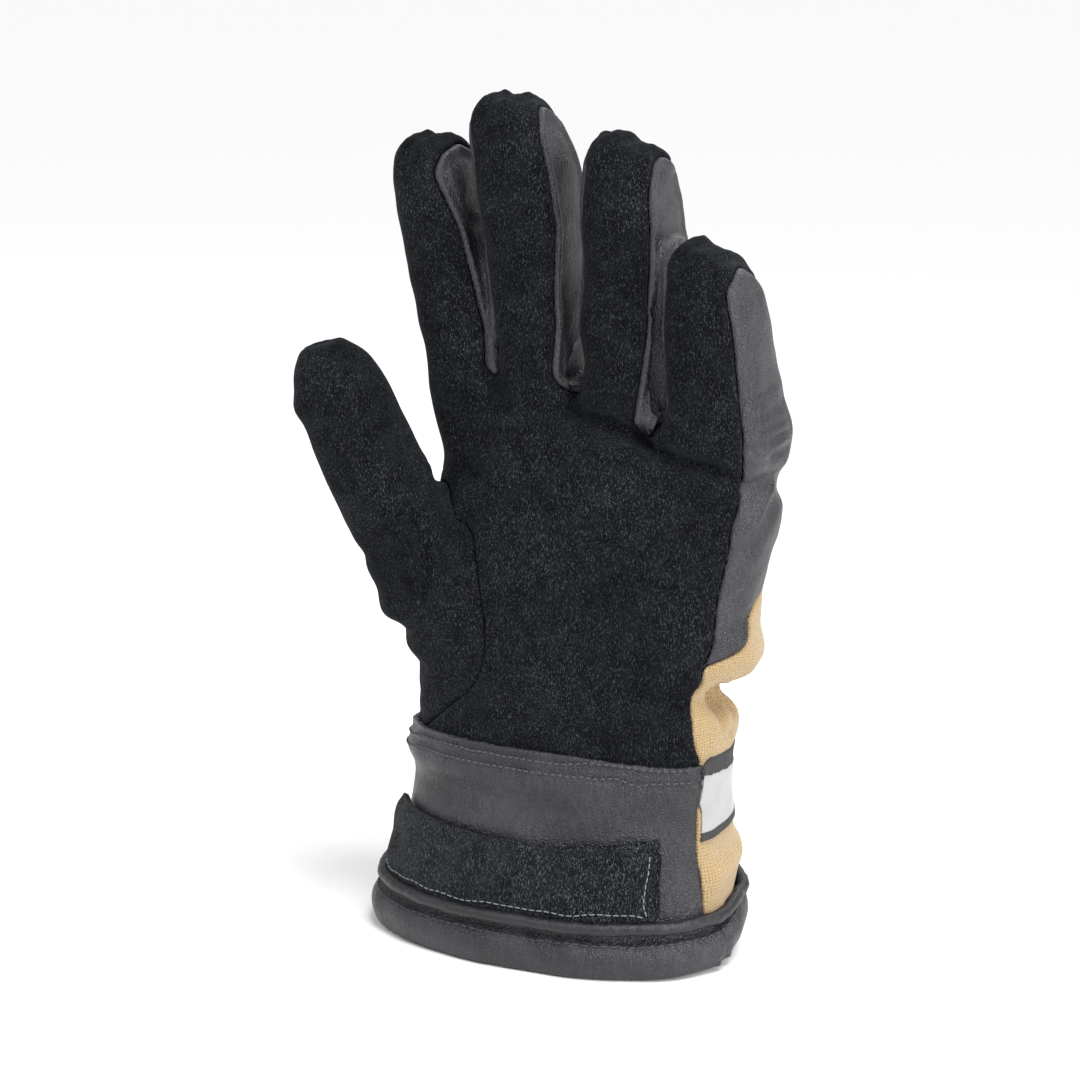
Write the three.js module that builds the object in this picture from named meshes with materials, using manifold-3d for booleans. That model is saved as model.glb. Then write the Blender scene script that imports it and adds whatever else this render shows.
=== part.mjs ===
import * as THREE from 'three';
import { mergeVertices } from 'three/addons/utils/BufferGeometryUtils.js';
import Module from 'manifold-3d';

const wasm = await Module();
wasm.setup();

// Left-hand work glove in its worn form: palm towards -Y, thumb towards -X, fingers up.
// The origin is the middle of the open cuff mouth. All lengths are millimetres.

// Driving dimensions.
const WALL = 2.4;
const SEAM_GAP = 0.35;
const CUFF_WIDTH = 132;
const CUFF_DEPTH = 82;
const CUFF_HEIGHT = 58;
const HEM_HEIGHT = 14;
const PIPING_DIAMETER = 4;
const MOUTH_RISE_ACROSS = -0.03;
const MOUTH_RISE_BACKWARD = 0.27;
const PALM_WIDTH = 121;
const PALM_DEPTH = 50;
const PALM_LENGTH = 116;
const FINGER_WIDTH = 28.5;
const FINGER_DEPTH = 30;
const INDEX_LENGTH = 114;
const MIDDLE_LENGTH = 125;
const RING_LENGTH = 118;
const LITTLE_LENGTH = 99;
const THUMB_LENGTH = 116;
const THUMB_WIDTH = 29.5;
const THUMB_DEPTH = 31;
const STRAP_HEIGHT = 20;
const STRAP_THICKNESS = 2;
const BAND_HEIGHT = 15.5;
const BAND_THICKNESS = 1;
const EDGING_HEIGHT = 3.2;
const CLEARANCE = 0.4;

// How finely the lofts are faceted.
const BODY_SIDES = 26;
const FINGER_SIDES = 12;
const TRIM_STEPS = 16;
const PIPING_SIDES = 6;
const MERGE_TOLERANCE = 1e-4;
const TANGENT_STEP = 0.01;

// The hollow of a fingertip keeps at least this half width and half depth.
const LEAST_HALF_WIDTH = 1;
const LEAST_HALF_DEPTH = 0.8;
const TIP_TAPER_START = 0.7;

const COLOURS = {
  suede: { color: 0x16181c, roughness: 0.95 },
  leather: { color: 0x35333a, roughness: 0.55 },
  knit: { color: 0xb98f56, roughness: 0.9 },
  silver: { color: 0xb9bcc0, roughness: 0.35, metalness: 0.5 },
  edging: { color: 0x1d1d20, roughness: 0.8 },
};

// Cuff sections: height as a share of CUFF_HEIGHT, width and depth of the cuff's own.
const CUFF_ROWS = [
  { up: 0.0, wide: 0.975, deep: 0.975, right: 0.0 },
  { up: 0.1, wide: 1.0, deep: 1.0, right: 0.0 },
  { up: 0.19, wide: 0.985, deep: 0.985, right: 0.0 },
  { up: 0.24, wide: 0.93, deep: 0.935, right: 0.0 },
  { up: 0.32, wide: 0.925, deep: 0.93, right: 0.006 },
  { up: 0.5, wide: 0.87, deep: 0.87, right: 0.018 },
  { up: 0.78, wide: 0.835, deep: 0.8, right: 0.035 },
];

// Palm sections: height as a share of PALM_LENGTH above the wrist seam. The fall, a share
// of PALM_LENGTH, lowers the knuckles towards the little finger.
const PALM_ROWS = [
  { up: 0.0, wide: 0.925, deep: 1.27, right: 0.04, back: 0.0, fall: 0 },
  { up: 0.12, wide: 0.915, deep: 1.21, right: 0.035, back: 0.02, fall: 0 },
  { up: 0.2, wide: 0.87, deep: 1.15, right: 0.03, back: 0.04, fall: 0 },
  { up: 0.26, wide: 0.95, deep: 1.12, right: 0.06, back: 0.05, fall: 0 },
  { up: 0.34, wide: 0.975, deep: 1.07, right: 0.07, back: 0.06, fall: 0 },
  { up: 0.6, wide: 0.98, deep: 0.96, right: 0.095, back: 0.1, fall: 0 },
  { up: 0.78, wide: 0.99, deep: 0.87, right: 0.125, back: 0.13, fall: 0.01 },
  { up: 0.91, wide: 0.985, deep: 0.77, right: 0.15, back: 0.13, fall: 0.035 },
  { up: 0.98, wide: 0.87, deep: 0.58, right: 0.135, back: 0.13, fall: 0.05 },
  { up: 1.0, wide: 0.74, deep: 0.36, right: 0.12, back: 0.13, fall: 0.055 },
];

// Fingers: root across and backward as shares of the palm, rise of the root as a share
// of PALM_LENGTH, then lean, curl and girth as shares of the finger's length and width.
const FINGERS = [
  { length: INDEX_LENGTH, across: -0.243, rise: 0.74, lean: -0.115, curl: 0.17, girth: 0.99 },
  { length: MIDDLE_LENGTH, across: -0.035, rise: 0.76, lean: -0.055, curl: 0.18, girth: 1.01 },
  { length: RING_LENGTH, across: 0.203, rise: 0.73, lean: 0.038, curl: 0.18, girth: 1.04 },
  { length: LITTLE_LENGTH, across: 0.494, rise: 0.61, lean: -0.035, curl: 0.17, girth: 1.08 },
];
const FINGER_ROOT_BACK = 0.14;

// Finger sections: place along the finger, then width and depth as shares of the root's.
const FINGER_ROWS = [
  { along: 0.0, wide: 0.72, deep: 0.6 },
  { along: 0.12, wide: 0.97, deep: 1.0 },
  { along: 0.28, wide: 1.02, deep: 1.16 },
  { along: 0.45, wide: 1.0, deep: 1.1 },
  { along: 0.65, wide: 0.98, deep: 1.03 },
  { along: 0.81, wide: 0.96, deep: 0.94 },
  { along: 0.92, wide: 0.92, deep: 0.77 },
  { along: 0.975, wide: 0.82, deep: 0.56 },
  { along: 1.0, wide: 0.55, deep: 0.28 },
];

// Thumb axis: places as shares of PALM_WIDTH across, PALM_DEPTH backward and
// THUMB_LENGTH upward from the wrist seam.
const THUMB_AXIS = [
  { across: -0.22, back: -0.05, up: 0.2 },
  { across: -0.375, back: -0.32, up: 0.56 },
  { across: -0.475, back: -0.56, up: 0.86 },
  { across: -0.56, back: -0.74, up: 1.155 },
];
const THUMB_ROWS = [
  { along: 0.0, wide: 1.1, deep: 1.0 },
  { along: 0.25, wide: 1.15, deep: 1.12 },
  { along: 0.5, wide: 1.06, deep: 1.04 },
  { along: 0.75, wide: 1.0, deep: 0.95 },
  { along: 0.88, wide: 0.94, deep: 0.82 },
  { along: 0.96, wide: 0.78, deep: 0.6 },
  { along: 1.0, wide: 0.46, deep: 0.28 },
];

const BODY_SQUARENESS = 2.35;
const FINGER_SQUARENESS = 3.1;

function smoothstep(low, high, value) {
  const share = Math.min(1, Math.max(0, (value - low) / (high - low)));
  return share * share * (3 - 2 * share);
}

// Straight interpolation of one column of a table along another.
function column(rows, key, value, name) {
  let i = 0;
  while (i < rows.length - 2 && rows[i + 1][key] < value) i += 1;
  const low = rows[i];
  const high = rows[i + 1];
  const share = (value - low[key]) / (high[key] - low[key]);
  return low[name] + (high[name] - low[name]) * share;
}

// The body's section at a height above the mouth.
const BODY_ROWS = [
  ...CUFF_ROWS.map((row) => ({
    z: row.up * CUFF_HEIGHT,
    x: row.right * CUFF_WIDTH,
    y: 0,
    a: (row.wide * CUFF_WIDTH) / 2,
    b: (row.deep * CUFF_DEPTH) / 2,
    fall: 0,
  })),
  ...PALM_ROWS.map((row) => ({
    z: CUFF_HEIGHT + row.up * PALM_LENGTH,
    x: row.right * PALM_WIDTH,
    y: row.back * PALM_DEPTH,
    a: (row.wide * PALM_WIDTH) / 2,
    b: (row.deep * PALM_DEPTH) / 2,
    fall: row.fall * PALM_LENGTH,
  })),
];

function bodySection(z) {
  return {
    x: column(BODY_ROWS, 'z', z, 'x'),
    y: column(BODY_ROWS, 'z', z, 'y'),
    a: column(BODY_ROWS, 'z', z, 'a'),
    b: column(BODY_ROWS, 'z', z, 'b'),
    fall: column(BODY_ROWS, 'z', z, 'fall'),
  };
}

// The cuff mouth is cut aslant, and the slant dies out at the wrist seam.
function mouthRise(x, y, z) {
  const fade = 1 - smoothstep(HEM_HEIGHT, CUFF_HEIGHT, z);
  return (MOUTH_RISE_ACROSS * x + MOUTH_RISE_BACKWARD * y) * fade;
}

// A point on an oval with squared corners: 0 faces right, a quarter turn faces back.
function oval(a, b, squareness, angle) {
  const power = 2 / squareness;
  const c = Math.cos(angle);
  const s = Math.sin(angle);
  return [
    a * Math.sign(c) * Math.abs(c) ** power,
    b * Math.sign(s) * Math.abs(s) ** power,
  ];
}

// A point of the body's surface, or offset outward from it by some millimetres.
function onBody(z, angle, offset = 0) {
  const section = bodySection(z);
  const [u, v] = oval(section.a + offset, section.b + offset, BODY_SQUARENESS, angle);
  const x = section.x + u;
  const y = section.y + v;
  const knuckleFall = (section.fall * u) / section.a;
  return new THREE.Vector3(x, y, z + mouthRise(x, y, z) - knuckleFall);
}

// A closed solid through rings of points, each ring with the same number of points.
function loft(rings, closedRing = false) {
  const sides = rings[0].length;
  const positions = rings.flat().flatMap((p) => [p.x, p.y, p.z]);
  const triangles = [];
  const steps = closedRing ? rings.length : rings.length - 1;
  for (let i = 0; i < steps; i += 1) {
    const next = (i + 1) % rings.length;
    for (let j = 0; j < sides; j += 1) {
      const k = (j + 1) % sides;
      const a = i * sides + j;
      const b = i * sides + k;
      const c = next * sides + k;
      const d = next * sides + j;
      triangles.push(a, b, c, a, c, d);
    }
  }
  if (!closedRing) {
    [0, rings.length - 1].forEach((i) => {
      const centre = rings[i].reduce((sum, p) => sum.add(p), new THREE.Vector3());
      centre.divideScalar(sides);
      const hub = positions.length / 3;
      positions.push(centre.x, centre.y, centre.z);
      for (let j = 0; j < sides; j += 1) {
        const a = i * sides + j;
        const b = i * sides + ((j + 1) % sides);
        if (i === 0) triangles.push(b, a, hub);
        else triangles.push(a, b, hub);
      }
    });
  }
  return solid(positions, triangles);
}

// A manifold solid from positions and triangles, turned so that its faces point out.
function solid(positions, triangles) {
  const geometry = new THREE.BufferGeometry();
  geometry.setAttribute('position', new THREE.Float32BufferAttribute(positions, 3));
  geometry.setIndex(triangles);
  const merged = mergeVertices(geometry, MERGE_TOLERANCE);
  const index = Array.from(merged.index.array);
  const mesh = (order) => new wasm.Mesh({
    numProp: 3,
    vertProperties: new Float32Array(merged.attributes.position.array),
    triVerts: new Uint32Array(order),
  });
  const made = new wasm.Manifold(mesh(index));
  if (made.volume() > 0) return made;
  const flipped = [];
  for (let i = 0; i < index.length; i += 3) flipped.push(index[i], index[i + 2], index[i + 1]);
  return new wasm.Manifold(mesh(flipped));
}

// A thin wall of even thickness along a grid of points.
function slab(grid, thickness) {
  const rows = grid.length;
  const columns = grid[0].length;
  const normal = (i, j) => {
    const along = grid[Math.min(i + 1, rows - 1)][j].clone().sub(grid[Math.max(i - 1, 0)][j]);
    const across = grid[i][Math.min(j + 1, columns - 1)].clone().sub(grid[i][Math.max(j - 1, 0)]);
    return along.cross(across).normalize();
  };
  const side = (sign) => grid.map((row, i) => row.map((p, j) => (
    p.clone().addScaledVector(normal(i, j), (sign * thickness) / 2))));
  return between(side(1), side(-1));
}

// A closed solid between two grids of points.
function between(front, rear) {
  const rows = front.length;
  const columns = front[0].length;
  const positions = [...front.flat(), ...rear.flat()].flatMap((p) => [p.x, p.y, p.z]);
  const count = rows * columns;
  const triangles = [];
  const quad = (a, b, c, d) => triangles.push(a, b, c, a, c, d);
  for (let i = 0; i < rows - 1; i += 1) {
    for (let j = 0; j < columns - 1; j += 1) {
      const a = i * columns + j;
      quad(a, a + 1, a + columns + 1, a + columns);
      quad(count + a, count + a + columns, count + a + columns + 1, count + a + 1);
    }
  }
  const rim = [];
  for (let j = 0; j < columns - 1; j += 1) rim.push(j);
  for (let i = 0; i < rows - 1; i += 1) rim.push(i * columns + columns - 1);
  for (let j = columns - 1; j > 0; j -= 1) rim.push((rows - 1) * columns + j);
  for (let i = rows - 1; i > 0; i -= 1) rim.push(i * columns);
  rim.forEach((a, k) => {
    const b = rim[(k + 1) % rim.length];
    quad(b, a, count + a, count + b);
  });
  return solid(positions, triangles);
}

// The body, inset for its hollow, which runs out through the mouth and stops short of the top.
function bodySolid(inset) {
  const rings = BODY_ROWS.map((row, i) => {
    const first = i === 0;
    const last = i === BODY_ROWS.length - 1;
    const shift = first || last ? -inset : 0;
    const ring = [];
    for (let j = 0; j < BODY_SIDES; j += 1) {
      const p = onBody(row.z, (2 * Math.PI * j) / BODY_SIDES, -inset);
      ring.push(p.setZ(p.z + shift));
    }
    return ring;
  });
  return loft(rings);
}

// A finger's axis, with a frame that looks right, forward to the palm side, and along.
function fingerFrame(finger, along) {
  const at = (share) => new THREE.Vector3(
    finger.across * PALM_WIDTH + finger.lean * finger.length * share,
    FINGER_ROOT_BACK * PALM_DEPTH - finger.curl * finger.length * share * share,
    CUFF_HEIGHT + finger.rise * PALM_LENGTH + finger.length * share,
  );
  const tangent = at(along + TANGENT_STEP).sub(at(along - TANGENT_STEP)).normalize();
  const right = new THREE.Vector3(1, 0, 0).addScaledVector(tangent, -tangent.x).normalize();
  const front = right.clone().cross(tangent);
  const shape = Math.min(1, Math.max(0, along));
  return {
    centre: at(along),
    tangent,
    right,
    front,
    a: (finger.girth * FINGER_WIDTH * column(FINGER_ROWS, 'along', shape, 'wide')) / 2,
    b: (finger.girth * FINGER_DEPTH * column(FINGER_ROWS, 'along', shape, 'deep')) / 2,
  };
}

// The thumb's axis is a smooth curve through its table's places.
const thumbCurve = new THREE.CatmullRomCurve3(THUMB_AXIS.map((row) => new THREE.Vector3(
  row.across * PALM_WIDTH,
  row.back * PALM_DEPTH,
  CUFF_HEIGHT + row.up * THUMB_LENGTH,
)));

function thumbFrame(along) {
  const share = Math.min(1, Math.max(0, along));
  const tangent = thumbCurve.getTangent(share);
  const over = (along - share) * thumbCurve.getLength();
  const centre = thumbCurve.getPoint(share).addScaledVector(tangent, over);
  const right = new THREE.Vector3(1, 0, 0).addScaledVector(tangent, -tangent.x).normalize();
  return {
    centre,
    tangent,
    right,
    front: right.clone().cross(tangent),
    a: (THUMB_WIDTH * column(THUMB_ROWS, 'along', share, 'wide')) / 2,
    b: (THUMB_DEPTH * column(THUMB_ROWS, 'along', share, 'deep')) / 2,
  };
}

// A point in a finger's or thumb's frame, offsets as shares of its half width and depth.
function inFrame(frame, rightward, forward) {
  return frame.centre.clone()
    .addScaledVector(frame.right, rightward * frame.a)
    .addScaledVector(frame.front, forward * frame.b);
}

function fingerSolid(frameAt, rows, inset) {
  const rings = rows.map((row) => {
    const frame = frameAt(row.along);
    const halfWidth = Math.max(frame.a - inset, LEAST_HALF_WIDTH);
    const halfDepth = Math.max(frame.b - inset, LEAST_HALF_DEPTH);
    const shortening = inset * smoothstep(TIP_TAPER_START, 1, row.along);
    const ring = [];
    for (let j = 0; j < FINGER_SIDES; j += 1) {
      const angle = (2 * Math.PI * (j + 0.5)) / FINGER_SIDES;
      const [u, v] = oval(halfWidth, halfDepth, FINGER_SQUARENESS, angle);
      ring.push(frame.centre.clone()
        .addScaledVector(frame.right, u)
        .addScaledVector(frame.front, -v)
        .addScaledVector(frame.tangent, -shortening));
    }
    return ring;
  });
  return loft(rings);
}

function handSolid(inset) {
  let hand = bodySolid(inset);
  FINGERS.forEach((finger) => {
    hand = hand.add(fingerSolid((along) => fingerFrame(finger, along), FINGER_ROWS, inset));
  });
  return hand.add(fingerSolid(thumbFrame, THUMB_ROWS, inset));
}

const shell = handSolid(0).subtract(handSolid(WALL));

// Seams, each a thin cut through the wall. A side piece of a finger lies between a front
// and a back edge, shares of the half depth, and the front edge rounds over near the tip.
const BACK_EDGE = -0.5;
const FRONT_EDGE_ROWS = [
  { along: 0.0, forward: 0.72 },
  { along: 0.8, forward: 0.7 },
  { along: 0.865, forward: 0.45 },
  { along: 0.9, forward: 0.05 },
  { along: 0.915, forward: BACK_EDGE },
];
const BACK_EDGE_ROWS = [
  { along: 0.0, forward: BACK_EDGE },
  { along: 0.83, forward: BACK_EDGE },
  { along: 0.9, forward: BACK_EDGE },
  { along: 0.925, forward: BACK_EDGE },
];
const CROTCH_LOW = 0.08;
const MID_ROWS = [0.3, 0.55, 0.7];

// Cutting sheets reach from inside a finger's hollow to outside its wall, in half widths.
const IN_HOLLOW = 0.2;
const PAST_WALL = 1.03;
const CLEAR_OF_WALL = 1.3;
const SHEET_LAP = 0.04;

// The tip's sheet: its half width, where it laps the side edges and where it starts.
const TIP_REACH = 1.4;
const TIP_LAP = 0.87;
const TIP_ROWS = [0.9, 1.0, 1.06];

const rootHeight = (finger) => CUFF_HEIGHT + finger.rise * PALM_LENGTH;
const heightAlong = (finger, along) => rootHeight(finger) + along * finger.length;
const alongAt = (finger, height) => (height - rootHeight(finger)) / finger.length;

function edgePoint(finger, edge, along, rightward) {
  return inFrame(fingerFrame(finger, along), rightward, column(edge, 'along', along, 'forward'));
}

// The strip between two neighbouring fingers is parted from the palm and the back. One
// sheet crosses both fingers' walls at the same heights, and the taller one's goes on.
function crotchCuts(left, right) {
  const leftIsTaller = heightAlong(left, 1) > heightAlong(right, 1);
  const taller = leftIsTaller ? left : right;
  const shorter = leftIsTaller ? right : left;
  const outward = leftIsTaller ? 1 : -1;
  const low = Math.max(heightAlong(left, CROTCH_LOW), heightAlong(right, CROTCH_LOW));
  return [FRONT_EDGE_ROWS, BACK_EDGE_ROWS].flatMap((edge) => {
    const ends = edge.slice(1).map((row) => row.along);
    const heights = [low, ...[...MID_ROWS, ...ends].map((along) => heightAlong(shorter, along))];
    const shared = heights.map((height) => {
      const leftWall = edgePoint(left, edge, alongAt(left, height), PAST_WALL);
      const rightWall = edgePoint(right, edge, alongAt(right, height), -PAST_WALL);
      const middle = (leftWall.x + rightWall.x) / 2;
      return [
        edgePoint(left, edge, alongAt(left, height), IN_HOLLOW),
        leftWall.setX(Math.min(leftWall.x, middle - SEAM_GAP / 2)),
        rightWall.setX(Math.max(rightWall.x, middle + SEAM_GAP / 2)),
        edgePoint(right, edge, alongAt(right, height), -IN_HOLLOW),
      ];
    });
    const start = alongAt(taller, heights[heights.length - 1]) - SHEET_LAP;
    const rest = [start, ...ends].filter((along) => along >= start);
    const own = rest.map((along) => [IN_HOLLOW, CLEAR_OF_WALL].map((reach) => (
      edgePoint(taller, edge, along, outward * reach))));
    return [slab(shared, SEAM_GAP), slab(own, SEAM_GAP)];
  });
}

// The palm side's suede rolls over each fingertip to a seam on the back of it.
function tipCut(finger) {
  const start = fingerFrame(finger, TIP_ROWS[0]);
  const reaches = [-TIP_REACH, 0, TIP_REACH];
  const lead = reaches.map((reach) => edgePoint(finger, BACK_EDGE_ROWS, TIP_LAP, reach));
  const rows = TIP_ROWS.map((along) => {
    const frame = fingerFrame(finger, along);
    return reaches.map((rightward) => frame.centre.clone()
      .addScaledVector(frame.right, rightward * start.a)
      .addScaledVector(frame.front, BACK_EDGE * start.b));
  });
  return slab([lead, ...rows], SEAM_GAP);
}

// Sheets that cut one side wall of the body: rows of height and place backward.
const [INDEX, MIDDLE, , LITTLE] = FINGERS;
const FAR_SIDE = 0.85;
const BESIDE_FINGERS = 0.42;
const BESIDE_WRIST = 0.2;
const SIDE_REACH = [IN_HOLLOW, 2.6];
const palmUp = (share) => CUFF_HEIGHT + share * PALM_LENGTH;

function sideRows(rows, sign, inner) {
  return rows.map((row) => [
    new THREE.Vector3(inner * sign * PALM_WIDTH, row.back * PALM_DEPTH, palmUp(row.up)),
    new THREE.Vector3(FAR_SIDE * sign * PALM_WIDTH, row.back * PALM_DEPTH, palmUp(row.up)),
  ]);
}

function fingerSideRows(finger, edge, sign) {
  const places = [...MID_ROWS, ...edge.slice(1).map((row) => row.along)];
  return places.map((along) => SIDE_REACH.map((reach) => (
    edgePoint(finger, edge, along, sign * reach))));
}

// Little finger's side: the gusset tapers to a point above the wrist.
const GUSSET_FRONT = [
  { up: 0.265, back: -0.26 },
  { up: 0.4, back: -0.22 },
  { up: 0.6, back: -0.19 },
  { up: 0.72, back: -0.18 },
];
const GUSSET_BACK = [
  { up: 0.265, back: -0.28 },
  { up: 0.285, back: -0.1 },
  { up: 0.34, back: 0.12 },
  { up: 0.42, back: 0.26 },
  { up: 0.58, back: 0.33 },
  { up: 0.72, back: 0.33 },
];
// Below the gusset the palm, then the cuff, meets the knit of the back.
const RIGHT_SEAM = [
  { up: -0.6, back: -0.33 },
  { up: -0.2, back: -0.35 },
  { up: 0.0, back: -0.35 },
  { up: 0.15, back: -0.31 },
  { up: 0.285, back: -0.26 },
];
// Thumb side: the seam lies on the back edge, out of sight from the palm.
const LEFT_SEAM = [
  { up: -0.6, back: 0.1 },
  { up: 0.0, back: 0.1 },
  { up: 0.4, back: 0.15 },
  { up: 0.7, back: 0.25 },
];

// The wrist seam joins the palm's suede to the cuff's leather on the palm side.
function wristCut() {
  return slab([-FAR_SIDE, FAR_SIDE].map((share) => [-CUFF_DEPTH, CUFF_DEPTH].map((y) => (
    new THREE.Vector3(share * PALM_WIDTH, y, CUFF_HEIGHT)))), SEAM_GAP);
}

// The hem is a band of its own all round the mouth.
function hemCut() {
  const reach = 5 * WALL;
  const rise = new THREE.Vector3(0, 0, SEAM_GAP);
  const rings = [];
  for (let j = 0; j < BODY_SIDES; j += 1) {
    const angle = (2 * Math.PI * j) / BODY_SIDES;
    const inner = onBody(HEM_HEIGHT, angle, -reach);
    const outer = onBody(HEM_HEIGHT, angle, reach);
    rings.push([inner, outer, outer.clone().add(rise), inner.clone().add(rise)]);
  }
  return loft(rings, true);
}

// How far outside the thumb its seam runs where it leaves the palm, and how far the plug
// through the wall goes in and out, as shares of PALM_DEPTH.
const THUMB_SEAM_OUTSET = 1.5;
const PLUG_IN = -0.2;
const PLUG_OUT = 0.6;

// The thumb is let in along a closed seam: places on the wall and the way that it faces.
const THUMB_SEAM = [
  { across: -0.3, back: -0.3, up: 0.7, facing: 40 },
  { across: -0.205, back: -0.5, up: 0.6, facing: 75 },
  { across: -0.145, back: -0.55, up: 0.4, facing: 85 },
  { across: -0.18, back: -0.6, up: 0.2, facing: 80 },
  { across: -0.3, back: -0.5, up: 0.07, facing: 55 },
  { across: -0.43, back: -0.1, up: 0.045, facing: 5 },
  { across: -0.4, back: 0.32, up: 0.15, facing: -50 },
  { across: -0.35, back: 0.5, up: 0.4, facing: -65 },
  { across: -0.33, back: 0.4, up: 0.62, facing: -50 },
  { across: -0.34, back: 0.05, up: 0.76, facing: 0 },
];

// The thumb's share of the wall: its tube, and a plug through the wall inside the seam.
function thumbRegion(spread) {
  const places = THUMB_SEAM.map((row) => (
    new THREE.Vector3(row.across * PALM_WIDTH, row.back * PALM_DEPTH, palmUp(row.up))));
  const ring = (depth) => THUMB_SEAM.map((row, i) => {
    const turn = THREE.MathUtils.degToRad(row.facing);
    const out = new THREE.Vector3(-Math.cos(turn), -Math.sin(turn), 0);
    const chord = places[(i + 1) % places.length].clone().sub(places.at(i - 1));
    const away = out.clone().cross(chord).normalize();
    return places[i].clone().addScaledVector(away, spread).addScaledVector(out, depth);
  });
  const plug = loft([ring(PLUG_IN * PALM_DEPTH), ring(PLUG_OUT * PALM_DEPTH)]);
  return plug.add(fingerSolid(thumbFrame, THUMB_ROWS, -spread - THUMB_SEAM_OUTSET));
}

// Cuts a solid and gives back its pieces, the crumbs left out, the largest first.
function separate(whole, cuts) {
  const crumb = 4 * WALL ** 3;
  const rest = cuts.reduce((left, cut) => left.subtract(cut), whole);
  return rest.decompose()
    .filter((piece) => piece.volume() > crumb)
    .sort((a, b) => b.volume() - a.volume());
}

// The thumb is two pieces, joined along both sides and over the tip: the sheet's rows, its
// reach to the left and right, and its place forward of the middle in half depths.
const THUMB_SIDE_ROWS = [-0.2, 0.2, 0.5, 0.8, 0.95, 1.08];
const THUMB_SIDE_REACH = [-2.6, 0, 1.8];
const THUMB_SIDE_EDGE = -0.2;

function thumbCut() {
  const middle = thumbFrame(0.5);
  return slab(THUMB_SIDE_ROWS.map((along) => {
    const frame = thumbFrame(along);
    return THUMB_SIDE_REACH.map((reach) => frame.centre.clone()
      .addScaledVector(frame.right, reach * middle.a)
      .addScaledVector(frame.front, THUMB_SIDE_EDGE * middle.b));
  }), SEAM_GAP);
}

const [handAndCuff, hem] = separate(shell, [hemCut()]);
const hand = handAndCuff.subtract(thumbRegion(SEAM_GAP));
const thumbHalves = separate(handAndCuff.intersect(thumbRegion(0)), [thumbCut()]);

const crotches = FINGERS.slice(1).flatMap((finger, i) => crotchCuts(FINGERS[i], finger));
const tips = FINGERS.map(tipCut);
const gussetFront = sideRows(GUSSET_FRONT, 1, BESIDE_FINGERS);
const gussetBack = sideRows(GUSSET_BACK, 1, BESIDE_FINGERS);
const leftSeam = sideRows(LEFT_SEAM, -1, BESIDE_WRIST);
const sides = [
  slab([...gussetFront, ...fingerSideRows(LITTLE, FRONT_EDGE_ROWS, 1)], SEAM_GAP),
  slab([...gussetBack, ...fingerSideRows(LITTLE, BACK_EDGE_ROWS, 1)], SEAM_GAP),
  slab(sideRows(RIGHT_SEAM, 1, BESIDE_WRIST), SEAM_GAP),
  slab([...leftSeam, ...fingerSideRows(INDEX, BACK_EDGE_ROWS, -1)], SEAM_GAP),
];
const panels = separate(hand, [...crotches, ...tips, ...sides]);

// The panel that has a corner nearest to a place.
function nearest(candidates, place) {
  const distance = (piece) => {
    const { vertProperties } = piece.getMesh();
    let best = Infinity;
    for (let i = 0; i < vertProperties.length; i += 3) {
      best = Math.min(best, place.distanceTo(new THREE.Vector3().fromArray(vertProperties, i)));
    }
    return best;
  };
  return candidates.reduce((best, piece) => (distance(piece) < distance(best) ? piece : best));
}

const halfway = (finger) => fingerFrame(finger, 0.5);
const palmAndCuff = nearest(panels, inFrame(halfway(MIDDLE), 0, 1));
const back = nearest(panels, inFrame(halfway(MIDDLE), 0, -1));
const fourchettes = FINGERS.slice(0, -1).map((finger) => nearest(panels, inFrame(halfway(finger), 1, 0)));
const gusset = nearest(panels, inFrame(halfway(LITTLE), 1, 0));
const cuffAndPalm = separate(palmAndCuff, [wristCut()]);
const palm = nearest(cuffAndPalm, inFrame(halfway(MIDDLE), 0, 1));
const cuff = nearest(cuffAndPalm, onBody(CUFF_HEIGHT / 2, -Math.PI / 2));
const thumbFront = nearest(thumbHalves, inFrame(thumbFrame(0.5), 0, 1));
const thumbBack = nearest(thumbHalves, inFrame(thumbFrame(0.5), 0, -1));

// A strip sewn on over the cuff, between two heights and two turns round the body.
function overlay(low, high, [from, to], thickness) {
  const grid = (offset) => [low, high].map((z) => {
    const row = [];
    for (let j = 0; j <= TRIM_STEPS; j += 1) {
      const angle = THREE.MathUtils.degToRad(from + ((to - from) * j) / TRIM_STEPS);
      row.push(onBody(z, angle, offset));
    }
    return row;
  });
  return between(grid(CLEARANCE + thickness), grid(CLEARANCE));
}

// The strap lies across the palm side, just above the piping.
const STRAP_TURN = [190, 312];
const strapLow = HEM_HEIGHT + 1.6 * PIPING_DIAMETER;
const strap = overlay(strapLow, strapLow + STRAP_HEIGHT, STRAP_TURN, STRAP_THICKNESS);

// The band lies across the back from seam to seam, an edging strip above and below it.
const BAND_TURN = [-17, 171];
const bandTop = CUFF_HEIGHT - EDGING_HEIGHT - CLEARANCE;
const bandLow = bandTop - BAND_HEIGHT;
const band = overlay(bandLow, bandTop, BAND_TURN, BAND_THICKNESS);
const edgeTop = overlay(bandTop + CLEARANCE, bandTop + EDGING_HEIGHT, BAND_TURN, BAND_THICKNESS);
const edgeLow = overlay(bandLow - EDGING_HEIGHT, bandLow - CLEARANCE, BAND_TURN, BAND_THICKNESS);

// A rolled piping runs round the glove at the top of the hem.
function piping() {
  const radius = PIPING_DIAMETER / 2;
  const seat = HEM_HEIGHT + radius;
  const rings = [];
  for (let j = 0; j < BODY_SIDES; j += 1) {
    const angle = (2 * Math.PI * j) / BODY_SIDES;
    const { z } = onBody(seat, angle);
    const ring = [];
    for (let k = 0; k < PIPING_SIDES; k += 1) {
      const turn = (2 * Math.PI * k) / PIPING_SIDES;
      const offset = CLEARANCE + radius + radius * Math.cos(turn);
      ring.push(onBody(seat, angle, offset).setZ(z + radius * Math.sin(turn)));
    }
    rings.push(ring);
  }
  return loft(rings, true);
}

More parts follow.
